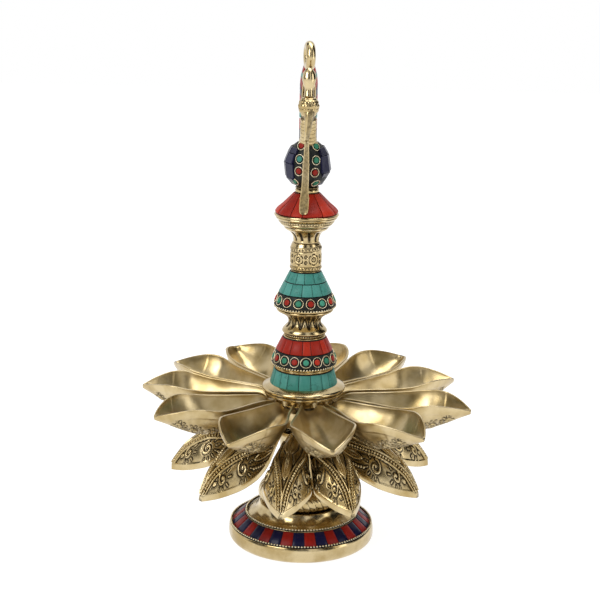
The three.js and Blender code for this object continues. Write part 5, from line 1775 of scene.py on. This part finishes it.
@dataclass
class Bird(SubAssembly):
    """The peacock: black chest with stones in wire hoops, blue wings, and a beak with a strand."""

    body: Body = Body.BIRD
    back: float = 1.0
    half_width: float = 13.9
    half_length: float = 19.0
    half_height: float = 14.6
    chest_rise: float = 15.4
    foot_radius: float = 6.6
    stud_bore: float = 3.5
    facets: int = 56
    thread_pitch: float = 1.5
    thread_depth: float = 0.45
    hoop_radius: float = 2.8
    stone_radius: float = 1.9
    wing_lift: float = 1.6
    wing_depth: float = 1.5
    # Side, height above the heart, and stone of each hoop on the chest
    chest: tuple = (
        (-4.0, 14.0, "coral"), (5.0, 13.6, "green"), (-5.0, 5.8, "turquoise"), (5.2, 5.2, "green"),
        (-5.4, -1.8, "coral"), (4.6, -2.4, "coral"), (-7.8, -9.2, "green"), (5.2, -9.8, "green"),
    )

    def __post_init__(self) -> None:
        """Finds the bird's underside and heart."""
        self.base = span_of("bird_seat").top + CLEARANCE
        self.heart = self.base + self.half_height + 0.3

    def section(self, up: float) -> tuple[float, float, float]:
        """Centre, half depth and half width of the body at a height above its heart."""
        power = 2.0 if up > 0 else 2.6
        full = math.sqrt(max(0.0, 1 - min(1.0, abs(up) / self.half_height) ** power))
        front = self.back - self.half_length * full
        rear = self.back + self.half_length * full
        width = self.half_width * full
        if up > 3:
            chest = np.interp(up, [3, 8, 11, 13.5, 15.4], [-17.8, -17.3, -16.5, -15.7, -14.6])
            front = min(front, float(chest))
            rear = max(rear, -5.0)
            width = max(width, float(np.interp(up, [3, 11, 13.5, 15.4], [12.4, 9.8, 8.6, 6.8])))
        return (front + rear) / 2, (rear - front) / 2, width

    def skin(self, up: float, angle: float, lift: float = 0.0) -> Array:
        """A point of the body at a height and an angle from the front, towards +X."""
        middle, depth, width = self.section(up)
        side, front = (width + lift) * math.sin(angle), (depth + lift) * math.cos(angle)
        return np.array([side, middle - front, self.heart + up])

    def on_chest(self, side: float, up: float) -> tuple[Array, Array]:
        """The point of the chest at a side and a height, and its outward normal."""
        angle = math.asin(side / self.section(up)[2])
        here = self.skin(up, angle)
        over = self.skin(up, angle + 0.02) - here
        rise = self.skin(up + 0.2, angle) - here
        return here, np.cross(over, rise)

    def build(self) -> None:
        """Builds the bird from its seat up."""
        seat = disc("bird_seat_ring", span_of("bird_seat"), self.stud_bore, 0.7)
        self.settle(seat, SATIN_BRASS, "bird_seat")
        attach(seat, Body.SEAT.value)
        stud = threaded_rod("bird_thread", span_of("bird_stud"), self.thread_pitch, self.thread_depth)
        self.settle(stud, SATIN_BRASS, "bird_stud")
        self.build_body()
        self.build_wings()
        self.build_neck_and_head()
        self.build_strand()

    @staticmethod
    def scallops(theta: Array, radius: Array, level: Array) -> Array:
        """Fourteen lobes round the brass foot, none on its bore."""
        return 0.22 * (np.abs(np.sin(7 * theta)) - 0.6) * (radius > 5)

    @staticmethod
    def scales(share: Array, turn: Array) -> Array:
        """Nine rows of scales up the neck, each row set between those of the last."""
        wave = np.sin(turn * 5 + math.pi * np.floor(share * 9) / 2) * np.sin(share * 9 * math.pi)
        return 0.32 * np.abs(wave) ** 0.6 - 0.25

    @staticmethod
    def bumps(share: Array, turn: Array) -> Array:
        """Seven rows of beads round the head."""
        wave = np.sin(turn * 6 + 2.2 * np.floor(share * 7)) * np.sin(share * 7 * math.pi)
        return 0.6 * np.abs(wave) ** 0.5 - 0.3

    def build_body(self) -> None:
        """The black body, its brass foot, and the hoops and stones on its chest."""
        ups = self.half_height * np.sin(np.linspace(-1, 1, 40) * math.pi / 2)
        ups = np.append(ups[ups < 13.0], np.linspace(13.2, self.chest_rise, 6))
        middle, depth, width = np.array([self.section(up) for up in ups]).T[..., None]
        angle = np.arange(self.facets) / self.facets * FULL_TURN
        side = np.maximum(width, 0.3) * np.sin(angle)
        back = middle - np.maximum(depth, 0.3) * np.cos(angle)
        points = np.stack(np.broadcast_arrays(side, back, (self.heart + ups)[:, None]), -1)
        self.settle(skinned("bird_body_resin", points), LAC, "peacock_body")
        bore, foot, base = self.stud_bore, self.foot_radius, self.base
        corners = [(bore, base, 0.1), (foot + 0.8, base, 0.4), (foot + 0.9, base + 0.9, 0.4),
                   (foot + 0.2, base + 1.5, 0.3), (foot + 0.8, base + 2.6, 0.5), (bore, base + 2.6, 0.1)]
        foot_ring = turned("bird_foot_ring", filleted(corners), 84, self.scallops, 0.2)
        # The foot ring is painted dark brass: painted shade under the body
        self.settle(foot_ring, BRASS_PAINTED_SHADE)
        hoops, stones = [], {"coral": [], "turquoise": [], "green": []}
        for side, up, stone in self.chest:
            at, normal = self.on_chest(side, up)
            hoops.append((at, normal, 1.0))
            stones[stone].append((at, normal, 1.0))
        wire = hoop_form(self.hoop_radius, 0.2)
        self.settle(forms_mesh("chest_hoops", wire, hoops), WIRE_BRASS_PAINTED_HIGHLIGHT)
        form = stone_form(self.stone_radius, 0.6, sides=10)
        for label, places in stones.items():
            self.settle(forms_mesh(f"chest_{label}_stones", form, places), STONES[label])

    def build_wings(self) -> None:
        """Large flat chips of dark blue stone on both sides."""
        for label, hand, rows in (
            ("left", -1, (-12.2, -7.4, 2.2, 8.6, 12.4)),
            ("right", 1, (-12.4, -3.4, 7.4, 12.6)),
        ):
            patches = []
            for k, (low, high) in enumerate(zip(rows[:-1], rows[1:])):
                turns = np.radians([38, 66, 94, 124, 152] if k % 2 else [42, 70, 102, 134, 158])
                for a, b in zip(turns[:-1], turns[1:]):
                    corners = ((low, a), (low, b), (high, b), (high, a))
                    patch = [self.skin(up, hand * turn, self.wing_lift) for up, turn in corners]
                    patches.append(patch if hand > 0 else patch[::-1])
            chips = chips_mesh(f"wing_chips_{label}", patches, self.wing_depth, 0.3, seed=21 + hand)
            self.settle(chips, LAPIS, f"wing_inlay_{label}")

    def build_neck_and_head(self) -> None:
        """Scaled neck, beaded head with its long beak, and the crest bulb."""
        root = self.heart + 14.4
        neck = [(-9.2, root, 5.8, 6.4), (-11.6, root + 3, 5.1, 5.4), (-14.0, root + 7.4, 4.8, 5.1),
                (-15.6, root + 12.2, 4.7, 5.2), (-17.8, root + 17.2, 4.6, 5.0)]
        self.settle(swept("feathered_neck", neck, 60, relief=self.scales), CARVED_BRASS, "peacock_neck")
        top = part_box("peacock_head")[1].z / MM
        middle = top - 6.6
        head = [
            (-19.5, top - 13.4, 1.2, 1.6), (-19.8, top - 12.0, 3.8, 3.6), (-19.7, top - 9.2, 6.0, 5.6),
            (-19.5, top - 5.6, 6.8, 6.5), (-19.4, top - 2.4, 5.6, 5.6), (-19.4, top - 0.4, 3.4, 3.8),
            (-19.4, top, 0.8, 0.9),
        ]
        crown = swept("beaded_head", head, 72, relief=self.bumps)
        beak = [(-22.4, middle + 0.6, 3.2, 3.0), (-23.6, middle - 4.6, 3.0, 3.0),
                (-24.0, middle - 9.0, 2.4, 2.4), (-23.4, middle - 14.4, 1.8, 1.9),
                (-22.6, middle - 20.0, 1.0, 1.5)]
        bill = swept("long_beak", beak, square=0.8)
        self.paint_shade_on_bill(bill, middle)
        eyes = [
            (np.array([hand * 5.7, -21.5, middle + 0.8]), np.array([hand * 1.0, -0.35, 0.12]), 1.0)
            for hand in (-1, 1)
        ]
        rims = forms_mesh("eye_rims", hoop_form(1.35, 0.28, 14), eyes)
        balls = forms_mesh("eye_balls", stone_form(0.75, 0.5, 10), eyes)
        whole = joined("beaked_head", [crown, bill, rims, balls])
        self.settle(whole, CARVED_BRASS, "peacock_head")
        crest = span_of("peacock_crest")
        shape = (
            (-19.5, 0, 3.0, 3.2), (-19.2, 0.14, 2.5, 2.9), (-19.0, 0.28, 2.5, 2.8), (-18.7, 0.42, 3.4, 3.6),
            (-18.3, 0.6, 4.0, 4.3), (-17.9, 0.8, 3.5, 3.7), (-17.6, 0.94, 1.9, 2.0), (-17.5, 1, 0.3, 0.3),
        )
        bulb = [(back, crest.bottom + share * crest.height, *half) for back, share, *half in shape]
        self.settle(swept("crest_bulb", bulb, 32), SATIN_BRASS, "peacock_crest")

    def paint_shade_on_bill(self, bill: Thing, middle: float) -> None:
        """Slants the beak a little and paints shade on it: dark but for a lit strip along its left edge."""
        places = np.array([v.co for v in bill.data.vertices])
        down = middle - places[:, 2] / MM
        # Painted shade: the beak is half dark, and only its left edge stays bright
        lit_edge = smoothstep(-0.4, -1.1, places[:, 0] / MM)
        store(bill.data, "wear_and_shade", 0.5 + 0.5 * lit_edge)
        places[:, 0] += (0.9 - 0.1 * down) * MM
        bill.data.vertices.foreach_set("co", places.ravel())

    def build_strand(self) -> None:
        """The flat strand in the beak: raised edges, two knuckles and a rounded end."""
        low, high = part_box("beak_strand")
        foot, top = low.z / MM, high.z / MM
        rise = top - foot
        # Share of the way up, side, distance forward and half width
        shape = spline([
            (0, -2.0, -20.4, 1.6), (0.03, -2.0, -20.5, 2.6), (0.1, -1.9, -20.6, 2.9),
            (0.2, -1.7, -20.8, 2.8), (0.34, -1.5, -21.3, 2.3), (0.5, -1.25, -21.6, 2.1),
            (0.68, -1.05, -21.7, 1.95), (0.84, -0.9, -21.9, 1.6), (1, -0.75, -22.6, 1.3),
        ], 12)
        rows = []
        for share, side, front, half in shape:
            knuckle = sum(math.exp(-(((share - at) / 0.014) ** 2)) for at in (0.225, 0.685))
            lift = 0.3 * knuckle
            edge = min(0.6, 0.4 * half)
            thick = 0.95
            half = half + 0.25 * knuckle
            left = [(-half, -thick), (-half, thick - 0.25), (-half + 0.2, thick), (-half + edge, thick),
                    (-half + edge + 0.3, thick - 0.35 + lift)]
            outline = left + [(-u, v) for u, v in left[::-1]]
            level = foot + share * rise
            rows.append([(side + u, front - v, level) for u, v in outline])
        points = np.array(rows)
        groove = np.ones(points.shape[:2])
        groove[:, 3:7] = 0.5
        strand = skinned("ribbed_strand", points, groove)
        self.settle(strand, CARVED_BRASS, "beak_strand")


@dataclass
class Tail(SubAssembly):
    """Curled tail plate, inlaid on both sides, with the hanging loop on its end."""

    body: Body = Body.BIRD
    half_thickness: float = 5.9
    hollow: float = 1.3
    border: float = 1.6
    pocket: float = 1.3
    chip_depth: float = 1.0
    loop_radius: float = 6.4
    bar_radius: float = 3.0
    loop_turn: float = 8.0
    loop_lift: float = 83.0
    # Distance back, height above the bird's underside and half depth of the plate
    centreline: tuple = (
        (8, 15, 5.0), (12, 19.0, 6.5), (24, 23.5, 8.5), (32.5, 34, 9), (34, 47, 8.8),
        (28, 60, 8.2), (17, 69.5, 6.8), (5, 73.5, 4.6), (-3.5, 74.4, 2.6),
    )

    def build(self) -> None:
        """Builds the plate, the chips and the loop."""
        base = span_of("bird_seat").top + CLEARANCE
        line = spline(self.centreline, 8)
        centre = line[:, :2] + np.array([0, base])
        along = np.gradient(centre, axis=0)
        along /= np.linalg.norm(along, axis=1)[:, None]
        upright = np.stack([-along[:, 1], along[:, 0]], -1)
        half = line[:, 2]
        self.build_plate(centre, upright, half)
        for label, hand in (("left", -1), ("right", 1)):
            self.build_inlay(label, hand, centre, upright, half)
        self.build_loop(base)

    def thickness(self, count: int) -> Array:
        """Half thickness over the middle of the plate, less towards the loop."""
        return self.half_thickness * (1 - 0.42 * smoothstep(0.62, 1.0, np.linspace(0, 1, count)))

    def build_plate(self, centre: Array, upright: Array, half: Array) -> None:
        """The casting: a rounded rim round a pocket on each side."""
        edge, deep = self.border, self.pocket
        rows = []
        for at, up, reach, t in zip(centre, upright, half, self.thickness(len(half)) - self.hollow):
            inner = max(reach - edge, 0.3 * reach)
            face = [
                (reach - 0.5, t), (inner, t), (inner - 0.2, t - deep), (-inner + 0.2, t - deep),
                (-inner, t), (-reach + 0.5, t), (-reach, t - 0.6), (-reach, 0), (-reach, -t + 0.6),
            ]
            outline = face + [(-u, -v) for u, v in face]
            rows.append([(v, at[0] + up[0] * u, at[1] + up[1] * u) for u, v in outline])
        plate = skinned("tail_casting", np.array(rows), smooth=False)
        self.settle(plate, CARVED_BRASS, "tail_plate")

    def build_inlay(self, label: str, hand: int, centre: Array, upright: Array, half: Array) -> None:
        """Two rows of chips on one side, in the pocket of the plate."""
        picks = range(8, len(centre) - 6, 5)
        rows: dict[str, list] = {"coral": [], "lapis": [], "turquoise": []}
        order = ("lapis", "coral", "turquoise", "coral")
        thick = self.thickness(len(half))
        for k, (a, b) in enumerate(zip(list(picks)[:-1], list(picks)[1:])):
            for low, high, shift in ((-0.98, 0.0, 0), (0.0, 0.98, 1)):
                corners = []
                for index, share in ((a, low), (b, low), (b, high), (a, high)):
                    reach = (half[index] - self.border) * share
                    spot = centre[index] + upright[index] * reach
                    face = thick[index] - (self.hollow - 0.2) * abs(share)
                    corners.append((hand * face, spot[0], spot[1]))
                patch = np.array(corners)
                out = np.cross(patch[2] - patch[0], patch[3] - patch[1])[0] * hand > 0
                rows[order[(k + 2 * shift) % 4]].append(patch if out else patch[::-1])
        for key, patches in rows.items():
            chips = chips_mesh(f"tail_{key}_{label}", patches, self.chip_depth, seed=31 + hand)
            nodes = (f"tail_inlay_{label}",) if key == "coral" else ()
            self.settle(chips, STONES[key], *nodes)

    def build_loop(self, base: float) -> None:
        """The cast ring that the lamp hangs by."""
        around, about = 56, 20
        t = np.arange(around) / around * FULL_TURN
        s = np.arange(about) / about * FULL_TURN
        big, small = np.meshgrid(t, s, indexing="ij")
        reach = self.loop_radius + self.bar_radius * np.cos(small)
        turn = math.radians(self.loop_turn)
        flat = reach * np.cos(big)
        side = self.bar_radius * np.sin(small)
        cos, sin = math.cos(turn), math.sin(turn)
        high = base + self.loop_lift + reach * np.sin(big)
        points = np.stack([side * cos - flat * sin, side * sin + flat * cos, high], -1)
        ring = mesh_piece("cast_loop", points, grid_faces(around, about, wrap_rows=True))
        self.settle(ring, SATIN_BRASS, "hanging_loop")


# The studio


@dataclass
class Studio:
    """Camera, soft light, white ground and dark boards of a packshot."""

    focal: float = 1430.0
    sensor: float = 36.0
    place: tuple[float, float, float] = (-0.0033, -0.900, 0.390)
    pitch: float = 14.1
    roll: float = 1.0
    ambient: float = 0.62
    ground_glow: float = 0.86
    board_reach: float = 2.2
    # Name, place and aim in metres, size in metres, power in watts
    lamps: tuple = (
        ("key_box", (-0.75, -0.75, 0.85), (0, 0, 0.12), (0.6, 0.8), 7.5),
        ("fill_box", (0.95, -0.45, 0.45), (0, 0, 0.12), (0.35, 0.9), 2.0),
        ("top_box", (0.1, 0.15, 1.15), (0, 0, 0.1), (0.7, 0.5), 4.6),
    )
    # First and last bearing from the camera's side, to the right, and lowest and highest elevation
    boards: tuple = (
        (-146, -112, 34, 72), (-88, -56, 3, 56), (-24, 8, 8, 78), (30, 66, 3, 56), (80, 130, 2, 70),
        (150, 176, 44, 80),
    )

    def build(self) -> None:
        """Sets up everything that isn't the object."""
        self.set_camera()
        self.set_world()
        self.set_lamps()
        self.set_floor()
        self.set_boards()
        bpy.context.scene.view_settings.view_transform = "Standard"

    def set_camera(self) -> None:
        """The camera of the photograph, about 0.9 m in front and a little above."""
        data = bpy.data.cameras.new("packshot")
        data.sensor_width = self.sensor
        data.lens = self.focal / IMAGE_WIDTH * self.sensor
        data.clip_start = 0.05
        camera = placed("packshot", data)
        turn = Matrix.Rotation(math.radians(90 - self.pitch), 4, "X")
        roll = Matrix.Rotation(math.radians(self.roll), 4, "Z")
        camera.matrix_world = Matrix.Translation(self.place) @ turn @ roll
        bpy.context.scene.camera = camera

    def seen(self, tree: Tree) -> bpy.types.Node:
        """1 for the camera's own rays and for those that metal or glass sends on, else 0."""
        path = node(tree, "ShaderNodeLightPath").outputs
        kind, most = "ShaderNodeMath", {"operation": "MAXIMUM"}
        either = node(tree, kind, {0: path["Is Camera Ray"], 1: path["Is Glossy Ray"]}, **most)
        return node(tree, kind, {0: either, 1: path["Is Transmission Ray"]}, **most)

    def set_world(self) -> None:
        """A white surround, which lights matt surfaces at a plain level."""
        world = bpy.data.worlds.new("white_surround")
        bpy.context.scene.world = world
        world.use_nodes = True
        tree = world.node_tree
        tree.nodes.clear()
        back = "ShaderNodeBackground"
        soft = node(tree, back, {"Color": (1, 1, 1, 1), "Strength": self.ambient})
        white = node(tree, back, {"Color": (1, 1, 1, 1), "Strength": 1.0})
        shown = node(tree, "ShaderNodeMixShader", {0: self.seen(tree), 1: soft, 2: white})
        node(tree, "ShaderNodeOutputWorld", {"Surface": shown})

    def set_lamps(self) -> None:
        """Soft boxes: a large key from the upper left, a fill from the right and one above."""
        for name, place, aim, size, power in self.lamps:
            data = bpy.data.lights.new(name, "AREA")
            data.shape = "RECTANGLE"
            data.size, data.size_y = size
            data.energy = power
            turn = (Vector(place) - Vector(aim)).to_track_quat("Z", "Y").to_matrix().to_4x4()
            placed(name, data).matrix_world = Matrix.Translation(place) @ turn

    def sheet(self, name: str, corners: Sequence[tuple], faces: Sequence[tuple],
              colour: str) -> tuple[Thing, Tree, bpy.types.Node]:
        """Makes a flat thing of the studio.

        Args:
            name: Its name.
            corners: Its corners in metres.
            faces: Its faces.
            colour: Its matt colour.

        Returns:
            The object, its material's tree and the matt shader in it.
        """
        mesh = bpy.data.meshes.new(name)
        mesh.from_pydata(corners, [], faces)
        made = placed(name, mesh)
        material = bpy.data.materials.new(name + "_matt")
        material.use_nodes = True
        material.node_tree.nodes.clear()
        matt = node(material.node_tree, "ShaderNodeBsdfDiffuse", {"Color": linear(colour)})
        mesh.materials.append(material)
        return made, material.node_tree, matt

    def set_floor(self) -> None:
        """A white sheet that the lamp stands on, with its soft shadow."""
        corners = [(-3, -3, 0), (3, -3, 0), (3, 3, 0), (-3, 3, 0)]
        _, tree, plain = self.sheet("white_sheet", corners, [(0, 1, 2, 3)], "#D8D8D6")
        faint = node(tree, "ShaderNodeBsdfDiffuse", {"Color": linear("#A0A0A0")})
        glow = node(tree, "ShaderNodeEmission", {"Color": (1, 1, 1, 1), "Strength": self.ground_glow})
        bright = node(tree, "ShaderNodeAddShader", {0: faint, 1: glow})
        shown = node(tree, "ShaderNodeMixShader", {0: self.seen(tree), 1: plain, 2: bright})
        node(tree, "ShaderNodeOutputMaterial", {"Surface": shown})

    def set_boards(self) -> None:
        """Dark boards round the set, out of the picture, which give the brass its dark bands."""
        corners, faces = [], []
        for first, last, low, high in self.boards:
            for bearing, elevation in ((first, low), (last, low), (last, high), (first, high)):
                turn, tilt = math.radians(bearing), math.radians(elevation)
                flat, rise = self.board_reach * math.cos(tilt), self.board_reach * math.sin(tilt)
                corners.append((flat * math.sin(turn), -flat * math.cos(turn), rise + 0.1))
            faces.append(tuple(range(len(corners) - 4, len(corners))))
        boards, tree, felt = self.sheet("dark_boards", corners, faces, "#1D1B18")
        node(tree, "ShaderNodeOutputMaterial", {"Surface": felt})
        boards.visible_camera = False
        boards.visible_diffuse = False


def main() -> None:
    """Builds the sub-assemblies from the foot up, then the studio."""
    lower = InlaidCone(core="lower_cone_core", chips="lower_cone_chips", rows=(ChipRow(0, 1, 18, phase=3.0),))
    red = InlaidCone(
        core="red_cone_core", chips="red_cone_chips", dots="red_cone_dot_band", wire="red_cone_bead",
        finish=CORAL, rows=(ChipRow(0, 1, 16, phase=6.0, seed=4),), hoop_phase=-165.9,
    )
    turquoise = InlaidCone(
        core="turquoise_cone_core", chips="turquoise_cone_chips", dots="turquoise_cone_dot_band",
        wire="turquoise_cone_bead", hoops=15, hoop_phase=-157.0, hoop_radius=3.05,
        rows=(ChipRow(0, 0.53, 14, phase=4.0, seed=6), ChipRow(0.53, 1, 12, phase=14.0, seed=8)),
    )
    parts = (Foot(), GadroonAndNeck(), ClampStack(), LowerTier(), UpperTier(), DripCollar(), lower, red,
             turquoise, Spool(), Barrel(), CupAndCanopy(), Bird(), Tail())
    for part in parts:
        part.build()
    Studio().build()


if __name__ == "__main__":
    main()
